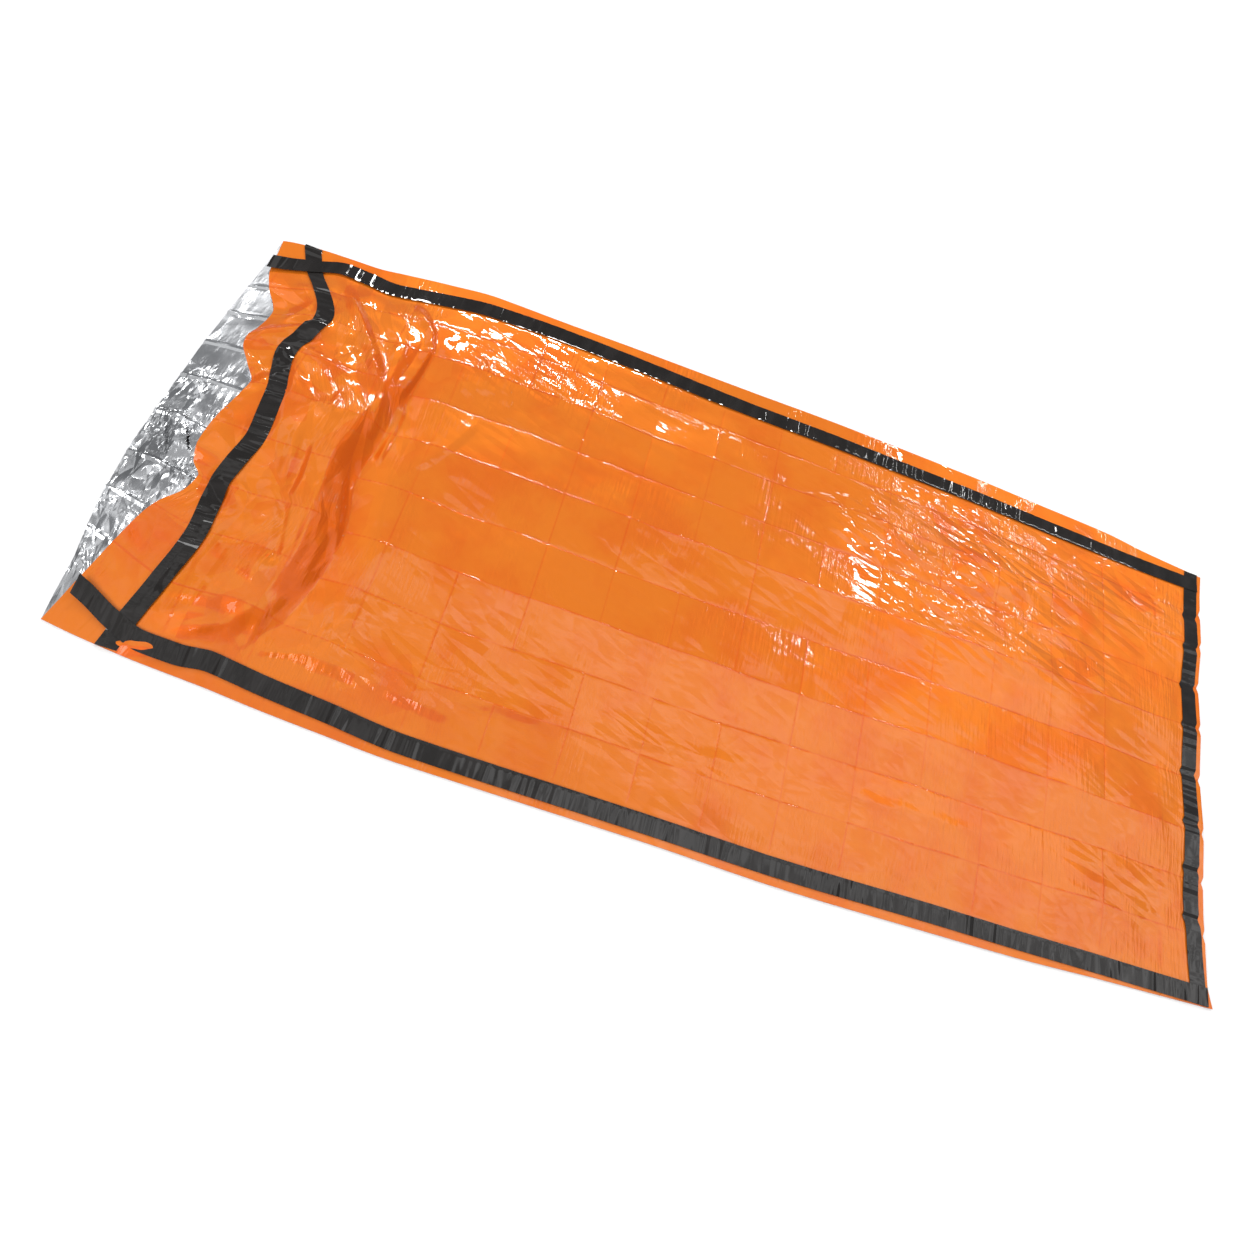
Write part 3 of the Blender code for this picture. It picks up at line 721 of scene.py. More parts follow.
def foot_offset(whole):
    """How far the foot edge lies inside HALF_LENGTH, jogged at the pack folds."""
    notch = np.zeros_like(whole)
    for share, _ in PACK_FOLDS:
        notch = np.maximum(notch, 1 - np.abs(whole - from_edge(share)) / NOTCH_HALF_WIDTH)
    return read(FOOT_EDGE, 1, whole) * MM + FOOT_NOTCH * np.clip(notch, 0, 1)


# ---------------------------------------------------------------------------
# Building shells and strips
# ---------------------------------------------------------------------------
def film_shell(name, shown, hidden, cut, marks, every=3):
    """A closed sheet of film. shown and hidden are grids of points, one for each
    face of the film. The hidden face keeps only every third line of its grid.
    marks are named values of the film that its material reads."""
    count_u, count_v = shown.shape[:2]
    fine = np.arange(count_u * count_v).reshape(count_u, count_v)
    faces = [(fine[i, j], fine[i + 1, j], fine[i + 1, j + 1], fine[i, j + 1])
             for i in range(count_u - 1) for j in range(count_v - 1)]
    first_hidden = len(faces)
    kept = np.zeros((count_u, count_v), bool)
    kept[::every, ::every] = True
    kept[[0, -1], :] = True
    kept[:, [0, -1]] = True
    coarse = np.full((count_u, count_v), -1)
    coarse[kept] = count_u * count_v + np.arange(kept.sum())

    lines_u = list(range(0, count_u - 1, every)) + [count_u - 1]
    lines_v = list(range(0, count_v - 1, every)) + [count_v - 1]
    for i0, i1 in zip(lines_u, lines_u[1:]):
        for j0, j1 in zip(lines_v, lines_v[1:]):
            loop = [(i, j0) for i in range(i0, i1, 1 if j0 == 0 else i1 - i0)]
            loop += [(i1, j) for j in range(j0, j1, 1 if i1 == count_u - 1 else j1 - j0)]
            loop += [(i, j1) for i in range(i1, i0, -1 if j1 == count_v - 1 else i0 - i1)]
            loop += [(i0, j) for j in range(j1, j0, -1 if i0 == 0 else j0 - j1)]
            faces.append(tuple(int(coarse[place]) for place in reversed(loop)))
    last_hidden = len(faces)
    rim = ([(i, 0) for i in range(count_u - 1)] + [(count_u - 1, j) for j in range(count_v - 1)]
           + [(i, count_v - 1) for i in range(count_u - 1, 0, -1)]
           + [(0, j) for j in range(count_v - 1, 0, -1)])
    for here, there in zip(rim, rim[1:] + rim[:1]):
        faces.append((int(fine[there]), int(fine[here]), int(coarse[here]), int(coarse[there])))

    points = np.concatenate([shown.reshape(-1, 3), hidden[kept]])
    mesh = bpy.data.meshes.new(name)
    mesh.from_pydata(points.tolist(), [], faces)
    flat = mesh.uv_layers.new(name="cut")
    grid_u, grid_v = np.meshgrid(cut[0], cut[1], indexing="ij")
    where = np.concatenate([np.stack([grid_u, grid_v], -1).reshape(-1, 2),
                            np.stack([grid_u, grid_v], -1)[kept]])
    corner = np.zeros(len(mesh.loops), np.int32)
    mesh.loops.foreach_get("vertex_index", corner)
    flat.uv.foreach_set("vector", where[corner].astype(np.float32).ravel())
    for mark, value in marks.items():
        layer = mesh.attributes.new(mark, "FLOAT", "POINT")
        layer.data.foreach_set("value", np.concatenate(
            [value.ravel(), value[kept]]).astype(np.float32))
    slots = np.zeros(len(faces), np.int32)
    slots[first_hidden:last_hidden] = 1
    mesh.polygons.foreach_set("material_index", slots)
    piece = bpy.data.objects.new(name, mesh)
    bpy.context.scene.collection.objects.link(piece)
    return piece


def select_only(piece):
    """Leave just this piece selected and active."""
    bpy.ops.object.select_all(action="DESELECT")
    piece.select_set(True)
    bpy.context.view_layer.objects.active = piece


def smooth_film(piece, crease_angle=60.0, round_before=-2.0):
    """Shade a sheet smoothly, with a clean line at its rim and along sharp creases. The
    folds that lie before a place along the bag keep their round crests."""
    select_only(piece)
    bpy.ops.object.shade_smooth_by_angle(angle=math.radians(crease_angle))
    film = bmesh.new()
    film.from_mesh(piece.data)
    for edge in film.edges:
        if not edge.smooth and edge.verts[0].co.x < round_before:
            edge.smooth = edge.calc_face_angle(0.0) < math.radians(ROUND_CREST_ANGLE)
    film.to_mesh(piece.data)
    film.free()


def down_face(points, thickness):
    """The other face of a film, a thickness behind its shown face."""
    along = np.gradient(points, axis=0)
    across = np.gradient(points, axis=1)
    normal = np.cross(along, across)
    normal /= np.linalg.norm(normal, axis=2, keepdims=True)
    return points - normal * np.asarray(thickness)[..., None]


def lowest_near(height, reach):
    """The lowest of the heights within a few grid lines of each place."""
    for axis in (0, 1):
        found = height
        for step in range(1, reach + 1):
            for way in (-step, step):
                moved = np.roll(height, way, axis=axis)
                edge = [slice(None)] * 2
                edge[axis] = slice(0, way) if way > 0 else slice(way, None)
                moved[tuple(edge)] = height[tuple(edge)]
                found = np.minimum(found, moved)
        height = found
    return height


def strip(name, centre, away, lift, sizes, along_count, across_count=9):
    """A tape: a grid laid along a centre line and given its thickness.

    centre(t) gives x and y along the tape, t from 0 to 1, away is the direction
    of its width, and lift(x, y, t) its height."""
    bpy.ops.object.select_all(action="DESELECT")
    bpy.ops.mesh.primitive_grid_add(x_subdivisions=along_count, y_subdivisions=across_count,
                                    size=2, calc_uvs=True)
    piece = bpy.context.object
    piece.name = piece.data.name = name
    places = np.zeros(len(piece.data.vertices) * 3)
    piece.data.vertices.foreach_get("co", places)
    places = places.reshape(-1, 3)
    t, s = (places[:, 0] + 1) / 2, places[:, 1]
    x, y = centre(t)
    x = x + away[0] * s * sizes.tape_width / 2
    y = y + away[1] * s * sizes.tape_width / 2
    places = np.stack([x, y, lift(x, y, t)], -1)
    piece.data.vertices.foreach_set("co", places.ravel())
    length = float(np.hypot(np.ptp(x), np.ptp(y)))
    uv = piece.data.uv_layers.active
    uv.name = "cut"
    corner = np.zeros(len(piece.data.loops), np.int32)
    piece.data.loops.foreach_get("vertex_index", corner)
    flat = np.stack([t * length, s * sizes.tape_width / 2], -1)
    uv.uv.foreach_set("vector", flat[corner].astype(np.float32).ravel())
    thick = piece.modifiers.new("thickness", "SOLIDIFY")
    thick.thickness = sizes.tape
    thick.offset = 1.0
    bpy.ops.object.modifier_apply(modifier="thickness")
    smooth_film(piece)
    return piece


# ---------------------------------------------------------------------------
# Materials
# ---------------------------------------------------------------------------
def add_node(tree, kind, inputs=None, **settings):
    """Add a node to a tree. An input is a value, or a socket to join to it."""
    node = tree.nodes.new(kind)
    for name, value in settings.items():
        setattr(node, name, value)
    for name, value in (inputs or {}).items():
        if isinstance(value, bpy.types.NodeSocket):
            tree.links.new(value, node.inputs[name])
        else:
            node.inputs[name].default_value = value
    return node


class Nodes:
    """A material's node tree with short calls to add and join nodes."""

    def __init__(self, name):
        self.material = bpy.data.materials.new(name)
        self.material.use_nodes = True
        self.tree = self.material.node_tree
        self.shader = self.tree.nodes["Principled BSDF"]

    def add(self, kind, inputs=None, **settings):
        return add_node(self.tree, kind, inputs, **settings)

    def mark(self, name):
        """A named value of the film at each place."""
        return self.add("ShaderNodeAttribute", attribute_name=name).outputs["Fac"]

    def mix(self, factor, first, second):
        return self.add("ShaderNodeMix", {"Factor": factor, "A": first, "B": second},
                        data_type="RGBA").outputs["Result"]

    def cut(self, scale, turn=0.0):
        """The film's own flat-cut coordinates in metres, turned, then stretched."""
        place = self.add("ShaderNodeUVMap", uv_map="cut")
        return self.add("ShaderNodeMapping", {"Vector": place.outputs["UV"],
                                              "Rotation": (0.0, 0.0, turn),
                                              "Scale": [1.0 / value for value in scale]},
                        vector_type="TEXTURE").outputs["Vector"]

    def noise(self, scale, detail=3.0, roughness=0.5, stretch=(1, 1, 1), **settings):
        return self.add("ShaderNodeTexNoise", {"Vector": self.cut(stretch), "Scale": scale,
                                               "Detail": detail, "Roughness": roughness},
                        **settings).outputs["Fac"]

    def spread(self, value, low, high, to_low=0.0, to_high=1.0):
        return self.add("ShaderNodeMapRange", {"Value": value, "From Min": low, "From Max": high,
                                               "To Min": to_low, "To Max": to_high},
                        interpolation_type="SMOOTHSTEP").outputs["Result"]

    def sum(self, first, second, operation="ADD"):
        return self.add("ShaderNodeMath", {0: first, 1: second}, operation=operation).outputs[0]

    def warped(self, place, scale, warp, noise_share, detail):
        """Coordinates pushed about by a noise that is coarser than the pattern on them."""
        shift = self.add("ShaderNodeTexNoise", {"Vector": place, "Scale": scale * noise_share,
                                                "Detail": detail}).outputs["Color"]
        shift = self.add("ShaderNodeVectorMath", {0: shift, 1: (warp / scale,) * 3},
                         operation="MULTIPLY").outputs["Vector"]
        return self.add("ShaderNodeVectorMath", {0: place, 1: shift}).outputs["Vector"]

    def shards(self, scale, warp, stretch=(1.0, 1.0, 1.0)):
        """Flat shards on warped coordinates: where each place lies from the middle of
        its shard, and the shard's own random lean, -0.5 to 0.5 along both axes."""
        place = self.warped(self.cut(stretch), scale, warp, 0.5, 2.0)
        cells = self.add("ShaderNodeTexVoronoi", {"Vector": place, "Scale": scale},
                         voronoi_dimensions="2D")
        away = self.add("ShaderNodeVectorMath", {0: place, 1: cells.outputs["Position"]},
                        operation="SUBTRACT").outputs["Vector"]
        lean = self.add("ShaderNodeVectorMath", {0: cells.outputs["Color"], 1: (0.5, 0.5, 0.5)},
                        operation="SUBTRACT").outputs["Vector"]
        return away, lean

    def folds(self, scale, slope, warp=0.25, stretch=(1.0, 1.0, 1.0), turn=0.0):
        """Height in metres of flat facets that slope up from sharp valleys."""
        place = self.warped(self.cut(stretch, turn), scale, warp, 0.4, 1.0)
        away = self.add("ShaderNodeTexVoronoi", {"Vector": place, "Scale": scale},
                        voronoi_dimensions="2D", feature="DISTANCE_TO_EDGE").outputs["Distance"]
        return self.sum(away, slope / scale, "MULTIPLY")

    def leaning(self, scale, warp, amount, normal=None, stretch=(1.0, 1.0, 1.0),
                toward=(0.0, 0.0, 0.0)):
        """A normal that leans a little, differently on every shard of the film."""
        lean = self.shards(scale, warp, stretch)[1]
        lean = self.add("ShaderNodeVectorMath", {0: lean, 1: (1.0, 1.0, 0.0), 2: toward},
                        operation="MULTIPLY_ADD").outputs["Vector"]
        lean = self.add("ShaderNodeVectorMath", {0: lean, "Scale": amount},
                        operation="SCALE").outputs["Vector"]
        if normal is None:
            normal = self.add("ShaderNodeNewGeometry").outputs["Normal"]
        normal = self.add("ShaderNodeVectorMath", {0: normal, 1: lean}).outputs["Vector"]
        return self.add("ShaderNodeVectorMath", {0: normal},
                        operation="NORMALIZE").outputs["Vector"]

    def bump(self, height, distance, strength=1.0, normal=None):
        inputs = {"Height": height, "Distance": distance, "Strength": strength}
        if normal is not None:
            inputs["Normal"] = normal
        return self.add("ShaderNodeBump", inputs).outputs["Normal"]

    def finish(self, colour=None, normal=None, roughness=None, **constants):
        for name, value in constants.items():
            self.shader.inputs[name.replace("_", " ")].default_value = value
        if colour is not None:
            self.tree.links.new(colour, self.shader.inputs["Base Color"])
        if roughness is not None:
            self.tree.links.new(roughness, self.shader.inputs["Roughness"])
        if normal is not None:
            self.tree.links.new(normal, self.shader.inputs["Normal"])
            self.tree.links.new(normal, self.shader.inputs["Coat Normal"])
        return self.material


def film_orange(colours):
    """Glossy orange film: printed plastic over metal, finely creased."""
    nodes = Nodes("film_outside")
    crumple = nodes.mark("crumpled")
    crease = nodes.mark("creased")
    tone = nodes.spread(nodes.noise(5.0, 4.0, 0.6), 0.42, 0.66)
    steep = nodes.mark("steep")
    wrinkles = nodes.noise(30.0, 4.0, 0.5, stretch=(0.45, 1.0, 1.0),
                           noise_type="RIDGED_MULTIFRACTAL")
    lines = nodes.sum(nodes.spread(wrinkles, 0.62, 0.80), crumple, "MULTIPLY")
    # painted shade: crumpled shards take the deeper orange at random, like facets turned from the
    # light
    panes = nodes.add("ShaderNodeSeparateXYZ", {"Vector": nodes.shards(22.0, 0.5)[1]})
    panes = nodes.sum(panes.outputs["X"], nodes.sum(crumple, 0.9, "MULTIPLY"), "MULTIPLY")
    # painted shade: steep flanks get a deeper orange and less gloss, in uneven patches. This goes
    # by the film's own slope and is the same from every side.
    uneven = nodes.add("ShaderNodeSeparateXYZ",
                       {"Vector": nodes.shards(26.0, 0.5, (1.0, 0.35, 1.0))[1]}).outputs["X"]
    uneven = nodes.sum(uneven, 0.6, "MULTIPLY")
    flanks = nodes.spread(nodes.sum(steep, uneven), 0.0, 0.65, 0.0, 0.80)
    flanks = nodes.sum(flanks, nodes.spread(steep, 0.05, 0.35), "MULTIPLY")
    tone = nodes.sum(nodes.sum(tone, 0.6, "MULTIPLY"), nodes.sum(flanks, panes))
    # painted shade: the pack creases and the crumple lines are darkened towards the deeper orange
    tone = nodes.sum(tone, nodes.sum(nodes.sum(crease, 1.2, "MULTIPLY"),
                                     nodes.sum(lines, 0.5, "MULTIPLY")))
    colour = nodes.mix(tone, colours.orange[:], colours.painted_shade_orange[:])
    # broad panes of film, then small folded facets where it is crumpled, then the
    # kinks along the pack creases
    normal = nodes.leaning(14.0, 0.3, 0.045)
    folded = nodes.sum(nodes.folds(40.0, 0.19, 0.12, stretch=(0.24, 1.0, 1.0), turn=-0.34),
                       nodes.folds(80.0, 0.03, stretch=(0.30, 1.0, 1.0), turn=-0.15))
    lifted = nodes.folds(17.0, 0.12, 0.5, stretch=(1.0, 0.40, 1.0), turn=0.25)
    place = nodes.add("ShaderNodeSeparateXYZ", {"Vector": nodes.cut((1.0, 1.0, 1.0))})
    mouth_end = nodes.spread(place.outputs["X"], ROUND_BEFORE - 0.03, ROUND_BEFORE + 0.03)
    folded = nodes.sum(nodes.sum(folded, mouth_end, "MULTIPLY"),
                       nodes.sum(lifted, nodes.sum(1.0, mouth_end, "SUBTRACT"), "MULTIPLY"))
    normal = nodes.bump(nodes.sum(folded, crumple, "MULTIPLY"), 1.0, 1.0, normal)
    normal = nodes.leaning(260.0, 0.3, nodes.sum(crease, 0.22, "MULTIPLY"), normal,
                           stretch=(0.45, 1.0, 1.0), toward=(0.0, 0.42, 0.0))
    fine = nodes.noise(170.0, 2.0, 0.5, stretch=(1.0, 0.09, 1.0))
    patches = nodes.spread(nodes.noise(6.0, 2.0), 0.46, 0.60)
    normal = nodes.bump(nodes.sum(fine, patches, "MULTIPLY"), 0.0020, 0.7, normal)
    normal = nodes.bump(nodes.sum(wrinkles, crumple, "MULTIPLY"), 0.0004, 1.0, normal)
    nodes.tree.links.new(nodes.spread(steep, 0.3, 1.0, 1.0, 0.35),
                         nodes.shader.inputs["Coat Weight"])
    return nodes.finish(colour, normal, Roughness=0.36, Metallic=0.16,
                        Specular_IOR_Level=0.0, Coat_Roughness=0.015, Coat_IOR=1.5)


def film_silver(colours):
    """Bright metal on the inside of the film, finely crinkled."""
    nodes = Nodes("film_inside")
    tone = nodes.spread(nodes.noise(9.0, 4.0, 0.6), 0.35, 0.65)
    crumple = nodes.mark("crumpled")
    # painted shade: the silver darkens in random patches, most where the film is crumpled
    tone = nodes.sum(tone, nodes.spread(crumple, 0.0, 1.0, 0.25, 1.0), "MULTIPLY")
    toned_and_shaded_silver = tuple(0.62 * value for value in colours.silver[:3]) + (1.0,)
    colour = nodes.mix(tone, colours.silver[:], toned_and_shaded_silver)
    patches = nodes.spread(nodes.noise(11.0, 3.0, 0.6), 0.44, 0.60, 0.15, 1.0)
    folded = nodes.sum(nodes.folds(150.0, 0.20, stretch=(1.0, 0.3, 1.0)), patches, "MULTIPLY")
    folded = nodes.sum(folded, nodes.folds(60.0, 0.14, stretch=(1.0, 0.3, 1.0)))
    folded = nodes.sum(folded, nodes.folds(20.0, 0.16, stretch=(1.0, 0.4, 1.0)))
    normal = nodes.bump(nodes.sum(folded, crumple, "MULTIPLY"), 1.0, 1.0)
    wrinkles = nodes.noise(36.0, 5.0, 0.55, noise_type="RIDGED_MULTIFRACTAL")
    normal = nodes.bump(nodes.sum(wrinkles, crumple, "MULTIPLY"), 0.0015, 1.0, normal)
    roughness = nodes.spread(nodes.noise(20.0), 0.3, 0.7, 0.12, 0.24)
    return nodes.finish(colour, normal, roughness, Metallic=1.0)


def tape_black(colours):
    """Glossy black tape with fine wrinkles across it."""
    nodes = Nodes("tape_face")
    tone = nodes.spread(nodes.noise(30.0, 4.0, 0.6, stretch=(1.0, 0.3, 1.0)), 0.4, 0.7)
    grey = (0.024, 0.021, 0.020, 1.0)
    colour = nodes.mix(tone, colours.black[:], grey)
    wrinkles = nodes.noise(46.0, 2.0, 0.5, stretch=(1.0, 0.10, 1.0),
                           noise_type="RIDGED_MULTIFRACTAL")
    patches = nodes.spread(nodes.noise(4.0, 2.0, stretch=(1.0, 0.2, 1.0)), 0.40, 0.58, 0.25, 1.0)
    normal = nodes.bump(nodes.sum(wrinkles, patches, "MULTIPLY"), 0.0120, 1.0)
    return nodes.finish(colour, normal, Roughness=0.45,
                        Specular_IOR_Level=0.0, Coat_Weight=1.0, Coat_Roughness=0.04,
                        Coat_IOR=1.5)


def pale_floor(colours):
    """Matt pale floor with a trace of grain."""
    nodes = Nodes("floor_face")
    place = nodes.add("ShaderNodeTexCoord").outputs["Object"]
    grain = nodes.add("ShaderNodeTexNoise", {"Vector": place, "Scale": 3.0, "Detail": 2.0})
    low = tuple(0.985 * value for value in colours.floor[:3]) + (1.0,)
    colour = nodes.mix(grain.outputs["Fac"], colours.floor[:], low)
    return nodes.finish(colour, Roughness=0.9)


def shade(name, maker):
    """The material of that name, made once."""
    found = bpy.data.materials.get(name)
    return found or maker(bpy.context.scene.bag_colours)


# ---------------------------------------------------------------------------
# Operators
# ---------------------------------------------------------------------------
class BAG_OT_back_panel(bpy.types.Operator):
    """Build the back panel, whose bright inside shows at the mouth"""
    bl_idname = "bag.back_panel"
    bl_label = "Back Panel"

    def execute(self, context):
        sizes = context.scene.bag_sizes
        mouth_part = np.arange(-HALF_LENGTH, BACK_OPEN_COLUMNS_END, 0.0030)
        columns = np.concatenate([mouth_part, np.linspace(BACK_OPEN_COLUMNS_END + 0.005,
                                                          HALF_LENGTH, 61)])
        rows = panel_rows(0.0046, 6)
        x, y = grid_places(columns, rows, sizes, back_mouth_offset, foot_offset)
        open_part = 1 - ease(-0.80, -0.72, x)
        near_edge, near_inner, far_inner, far_edge = seams(x, sizes.tape_width)
        room = ease(0.0, 0.03, np.minimum(y - near_edge, far_edge - y))
        lift = BACK_LIFT + 0 * x
        crinkled = 0.10 + 0.90 * ease(-0.10, 0.08, 0.02 - y - 0.6 * (x + 0.90))
        for size, height, seed, calm_share in BACK_CRUMPLES:
            relief = soft_facets(x, y, size, sizes.seed + 40 + seed)
            calm = calm_share + (1 - calm_share) * crinkled
            lift = lift + (relief + 1) * height * open_part * room * calm
        share = between_tapes(x, y, sizes)[0]
        lift = lift + inner_folds(x, y, share) * open_part * room + foot_pleats(x, share)
        cover = panel_height(x, y, sizes) - sizes.film - PANEL_GAP
        open_share = (y - near_inner) / (far_inner - near_inner)
        edge_x = -HALF_LENGTH + mouth("edge_x", np.clip(open_share, MOUTH[0][0], MOUTH[-1][0]))
        lift = np.where(x > edge_x - 0.012, np.minimum(lift, cover), lift)
        shown = np.stack([x, y, lift], -1)
        # the hidden face lies flat under the open part, so that it never meets the floor
        flat = open_part * room
        under = np.maximum(lift - sizes.film, FLOOR_GAP) * (1 - flat) + FLOOR_GAP * flat
        hidden = np.stack([x, y, under], -1)
        piece = film_shell("back_panel_film", shown, hidden, (columns, y[len(columns) // 2]),
                           {"crumpled": open_part * room * crinkled, "creased": 0 * x,
                            "steep": 0 * x})
        piece.data.materials.append(shade("film_inside", film_silver))
        piece.data.materials.append(shade("film_outside", film_orange))
        smooth_film(piece, CREASE_ANGLE)
        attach(piece, "root")
        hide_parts("back_panel")
        return {"FINISHED"}


class BAG_OT_front_panel(bpy.types.Operator):
    """Build the front panel, with its pack folds, crumples and lifted mouth"""
    bl_idname = "bag.front_panel"
    bl_label = "Front Panel"

    def execute(self, context):
        sizes = context.scene.bag_sizes
        columns = panel_columns(0.0028, 0.0095)
        rows = panel_rows(0.0049, 7)
        x, y = grid_places(columns, rows, sizes, front_mouth_offset, foot_offset)
        shown = np.stack([x, y, panel_height(x, y, sizes)], -1)
        room = between_tapes(x, y, sizes)[1]
        free = ease(0.0, 0.03, room)
        inside = ease(-0.010, 0.004, room)
        free = free * ease(0, 0.012, x - x[:1])
        # the coarse hidden face would come through the film at the pleat, so it has none,
        # and it is sunk to the lowest place near each of its points
        unpleated = np.stack([x, y, panel_height(x, y, sizes, pleated=False)], -1)
        hidden = down_face(unpleated, sizes.film)
        sunk = np.maximum(lowest_near(hidden[..., 2], 3), SEAT)
        hidden[..., 2] += (np.minimum(sunk, hidden[..., 2]) - hidden[..., 2]) * free
        # the film's slope, by which the material paints shade on steep flanks
        slope = np.hypot(*[np.gradient(shown[..., 2], axis=a)
                           / np.gradient(shown[..., b], axis=a) for a, b in ((0, 0), (1, 1))])
        piece = film_shell("front_panel_film", shown, hidden, (columns, y[len(columns) // 2]),
                           {"crumpled": crumpled(x, y) * (0.3 + 0.7 * inside),
                            "creased": creased(x, y, sizes),
                            "steep": ease(0.16, 0.60, slope)})
        piece.data.materials.append(shade("film_outside", film_orange))
        piece.data.materials.append(shade("film_inside", film_silver))
        smooth_film(piece, CREASE_ANGLE, ROUND_BEFORE)
        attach(piece, "root")
        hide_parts("front_panel")
        return {"FINISHED"}


class BAG_OT_tapes(bpy.types.Operator):
    """Lay the four black tapes along the sides, the foot and the mouth"""
    bl_idname = "bag.tapes"
    bl_label = "Tapes"

    def execute(self, context):
        sizes = context.scene.bag_sizes
        half = sizes.tape_width / 2
        black = shade("tape_face", tape_black)

        def laid(x, y, seed, extra):
            relief = facets(x, y * 0.25, 0.011, sizes.seed + seed)
            under = np.max([panel_height(x + dx, y + dy, sizes, pleated=False)
                            for dx in (-TAPE_REACH, 0, TAPE_REACH)
                            for dy in (-TAPE_REACH, TAPE_REACH)], axis=0)
            return under + TAPE_LIFT + extra + TAPE_RELIEF * (1 + relief)

        def side_line(name, start, end):
            far = name == "far"

            def centre(t):
                x = start + (end - start) * t
                _, near_inner, far_inner, _ = seams(x, sizes.tape_width)
                return x, (far_inner + half) if far else (near_inner - half)
            return centre

        def from_side_to_side(near_edge, far_edge, t):
            width = far_edge - near_edge - 2 * TAPE_END_INSET
            return near_edge + TAPE_END_INSET + width * t

        def mouth_centre(t):
            # from the near edge to the far edge, on the tape's own line
            x = np.full_like(t, -0.87)
            for _ in range(4):
                near_edge, near_inner, far_inner, far_edge = seams(x, sizes.tape_width)
                y = from_side_to_side(near_edge, far_edge, t)
                share = (y - near_inner) / (far_inner - near_inner)
                x = -HALF_LENGTH + mouth("tape_x", share)
            return x, y

        def foot_centre(t):
            x = np.full_like(t, HALF_LENGTH - 0.03)
            near_edge, _, _, far_edge = seams(x, sizes.tape_width)
            x = HALF_LENGTH - foot_offset(t) - FOOT_MARGIN - half
            return x, from_side_to_side(near_edge, far_edge, t)

        def over_mouth_tape(t):
            # a side tape lies over the mouth tape where they cross, near its start
            return 0.0006 + 0.0018 * np.exp(-(t / 0.06) ** 2)

        tapes = (
            ("mouth_tape", mouth_centre, (1, 0), 260, 0.94, 21, lambda t: 0.0007 + 0 * t),
            ("foot_tape", foot_centre, (1, 0), 260, 0.90, 22, lambda t: 0 * t),
            ("side_tape_near", side_line("near", -0.955, HALF_LENGTH - 0.028), (0, 1), 620, 2.00,
             23, lambda t: over_mouth_tape(t) + 0.007 * np.exp(-t / 0.007)),
            ("side_tape_far", side_line("far", -0.958, HALF_LENGTH - 0.012), (0, 1), 620, 2.00,
             24, lambda t: over_mouth_tape(t) + 0.003 * np.exp(-t / 0.006)),
        )
        for node, centre, away, count, length, seed, extra in tapes:
            piece = strip(node + "_strip", centre, away,
                          lambda x, y, t: laid(x, y, seed, extra(t)), sizes, count)
            piece.data.materials.append(black)
            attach(piece, "root")
            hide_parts(node)
        return {"FINISHED"}


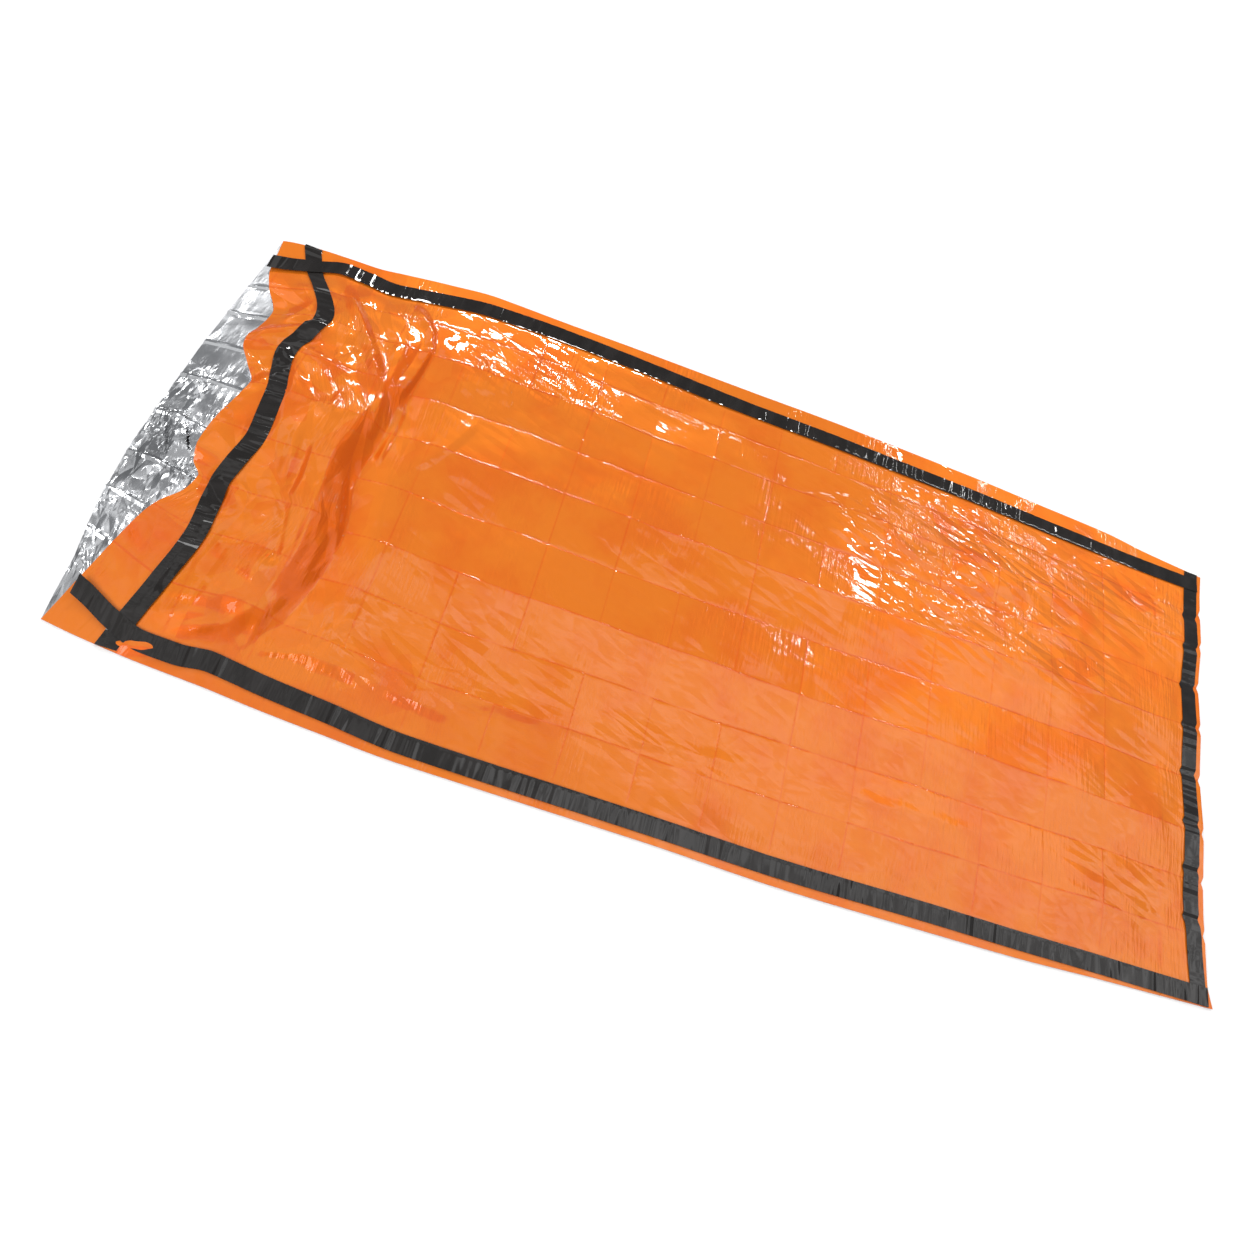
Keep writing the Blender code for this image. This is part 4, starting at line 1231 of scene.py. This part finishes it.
class BAG_OT_stage(bpy.types.Operator):
    """Set out the floor, the soft lights and the camera"""
    bl_idname = "bag.stage"
    bl_label = "Stage"

    def execute(self, context):
        bpy.ops.object.select_all(action="DESELECT")
        bpy.ops.mesh.primitive_plane_add(size=14, location=(0, 0, -0.0005))
        floor = context.object
        floor.name = "floor"
        floor.data.materials.append(shade("floor_face", pale_floor))
        self.lights(context)
        self.camera(context)
        context.scene.view_settings.view_transform = "Standard"
        return {"FINISHED"}

    def lights(self, context):
        """Hang the lamps over and around the bag."""
        world = bpy.data.worlds.new("studio")
        context.scene.world = world
        world.use_nodes = True
        background = world.node_tree.nodes["Background"]
        background.inputs["Color"].default_value = WORLD_COLOUR
        background.inputs["Strength"].default_value = WORLD_STRENGTH
        for name, place, aim, width, height, turn, brightness in LAMPS:
            data = bpy.data.lights.new(name, "AREA")
            data.shape = "RECTANGLE"
            data.size, data.size_y = width, height
            data.energy = brightness * math.pi * width * height
            lamp = bpy.data.objects.new(name, data)
            lamp.location = place
            look = Vector(aim) - Vector(place)
            facing = look.to_track_quat("-Z", "Y") @ Quaternion((0, 0, 1), math.radians(turn))
            lamp.rotation_euler = facing.to_euler()
            context.scene.collection.objects.link(lamp)
            if name == "overhead":
                self.cloud(data)

    def cloud(self, data):
        """Make the overhead softbox uneven, and dark beyond a soft edge at its back."""
        data.use_nodes = True
        tree = data.node_tree

        def add(kind, inputs, **settings):
            return add_node(tree, kind, inputs, **settings)

        place = tree.nodes.new("ShaderNodeNewGeometry").outputs["Position"]
        axes = add("ShaderNodeSeparateXYZ", {"Vector": place})
        noise = add("ShaderNodeTexNoise", {"Vector": place, "Scale": 3.2, "Detail": 4.0,
                                           "Roughness": 0.6}).outputs["Fac"]
        ragged = add("ShaderNodeMath", {0: noise, 1: 1.0, 2: -0.5}, operation="MULTIPLY_ADD")
        edge = add("ShaderNodeMapRange", {"Value": axes.outputs["X"], "From Min": 0.5,
                                          "From Max": 1.4, "To Min": 1.00, "To Max": 1.42})
        past = add("ShaderNodeMath", {0: axes.outputs["Y"], 1: edge.outputs["Result"]},
                   operation="SUBTRACT")
        past = add("ShaderNodeMath", {0: past.outputs[0], 1: ragged.outputs[0]})
        back = add("ShaderNodeMapRange", {"Value": past.outputs[0], "From Min": -0.12,
                                          "From Max": 0.14, "To Min": 1.0, "To Max": 0.04},
                   interpolation_type="SMOOTHSTEP")
        left = add("ShaderNodeMath", {0: axes.outputs["Y"], 1: 1.34, 2: axes.outputs["X"]},
                   operation="MULTIPLY_ADD")
        left = add("ShaderNodeMath", {0: left.outputs[0], 1: ragged.outputs[0]})
        left = add("ShaderNodeMapRange", {"Value": left.outputs[0], "From Min": -0.05,
                                          "From Max": 0.35, "To Min": 0.35, "To Max": 1.0},
                   interpolation_type="SMOOTHSTEP")
        uneven = add("ShaderNodeMapRange", {"Value": noise, "From Min": 0.45,
                                            "From Max": 0.55, "To Min": 0.60, "To Max": 1.35})
        glow = add("ShaderNodeMath", {0: back.outputs["Result"], 1: left.outputs["Result"]},
                   operation="MULTIPLY")
        glow = add("ShaderNodeMath", {0: glow.outputs[0], 1: uneven.outputs["Result"]},
                   operation="MULTIPLY")
        tree.links.new(glow.outputs[0], tree.nodes["Emission"].inputs["Strength"])

    def camera(self, context):
        """Set the camera over the near side, looking down along the bag."""
        down, turn, roll = [math.radians(a) for a in (CAMERA_DOWN, CAMERA_TURN, CAMERA_ROLL)]
        ahead = Vector((math.cos(down) * math.sin(turn), math.cos(down) * math.cos(turn),
                        -math.sin(down)))
        level = Vector((math.cos(turn), -math.sin(turn), 0))
        above = level.cross(ahead)
        right = level * math.cos(roll) + above * math.sin(roll)
        up = above * math.cos(roll) - level * math.sin(roll)
        data = bpy.data.cameras.new("camera")
        data.sensor_width, data.lens = CAMERA_SENSOR, CAMERA_LENS
        camera = bpy.data.objects.new("camera", data)
        camera.matrix_world = Matrix.Translation(CAMERA_PLACE) @ Matrix(
            (right, up, -ahead)).transposed().to_4x4()
        context.scene.collection.objects.link(camera)
        context.scene.camera = camera


class BAG_PT_sidebar(bpy.types.Panel):
    """Buttons that build the bag"""
    bl_label = "Emergency Sleeping Bag"
    bl_space_type = "VIEW_3D"
    bl_region_type = "UI"
    bl_category = "Sleeping Bag"

    def draw(self, context):
        for settings in (context.scene.bag_sizes, context.scene.bag_colours):
            box = self.layout.box()
            for name in settings.bl_rna.properties.keys():
                if name not in ("rna_type", "name"):
                    box.prop(settings, name)
        for operator in STEPS:
            self.layout.operator(operator.bl_idname)


STEPS = (BAG_OT_back_panel, BAG_OT_front_panel, BAG_OT_tapes, BAG_OT_stage)
CLASSES = (BagSizes, BagColours, *STEPS, BAG_PT_sidebar)


def register():
    for made in CLASSES:
        bpy.utils.register_class(made)
    bpy.types.Scene.bag_sizes = bpy.props.PointerProperty(type=BagSizes)
    bpy.types.Scene.bag_colours = bpy.props.PointerProperty(type=BagColours)


def unregister():
    del bpy.types.Scene.bag_colours
    del bpy.types.Scene.bag_sizes
    for made in reversed(CLASSES):
        bpy.utils.unregister_class(made)


def main():
    register()
    bpy.ops.bag.back_panel()
    bpy.ops.bag.front_panel()
    bpy.ops.bag.tapes()
    bpy.ops.bag.stage()


if __name__ == "__main__":
    main()
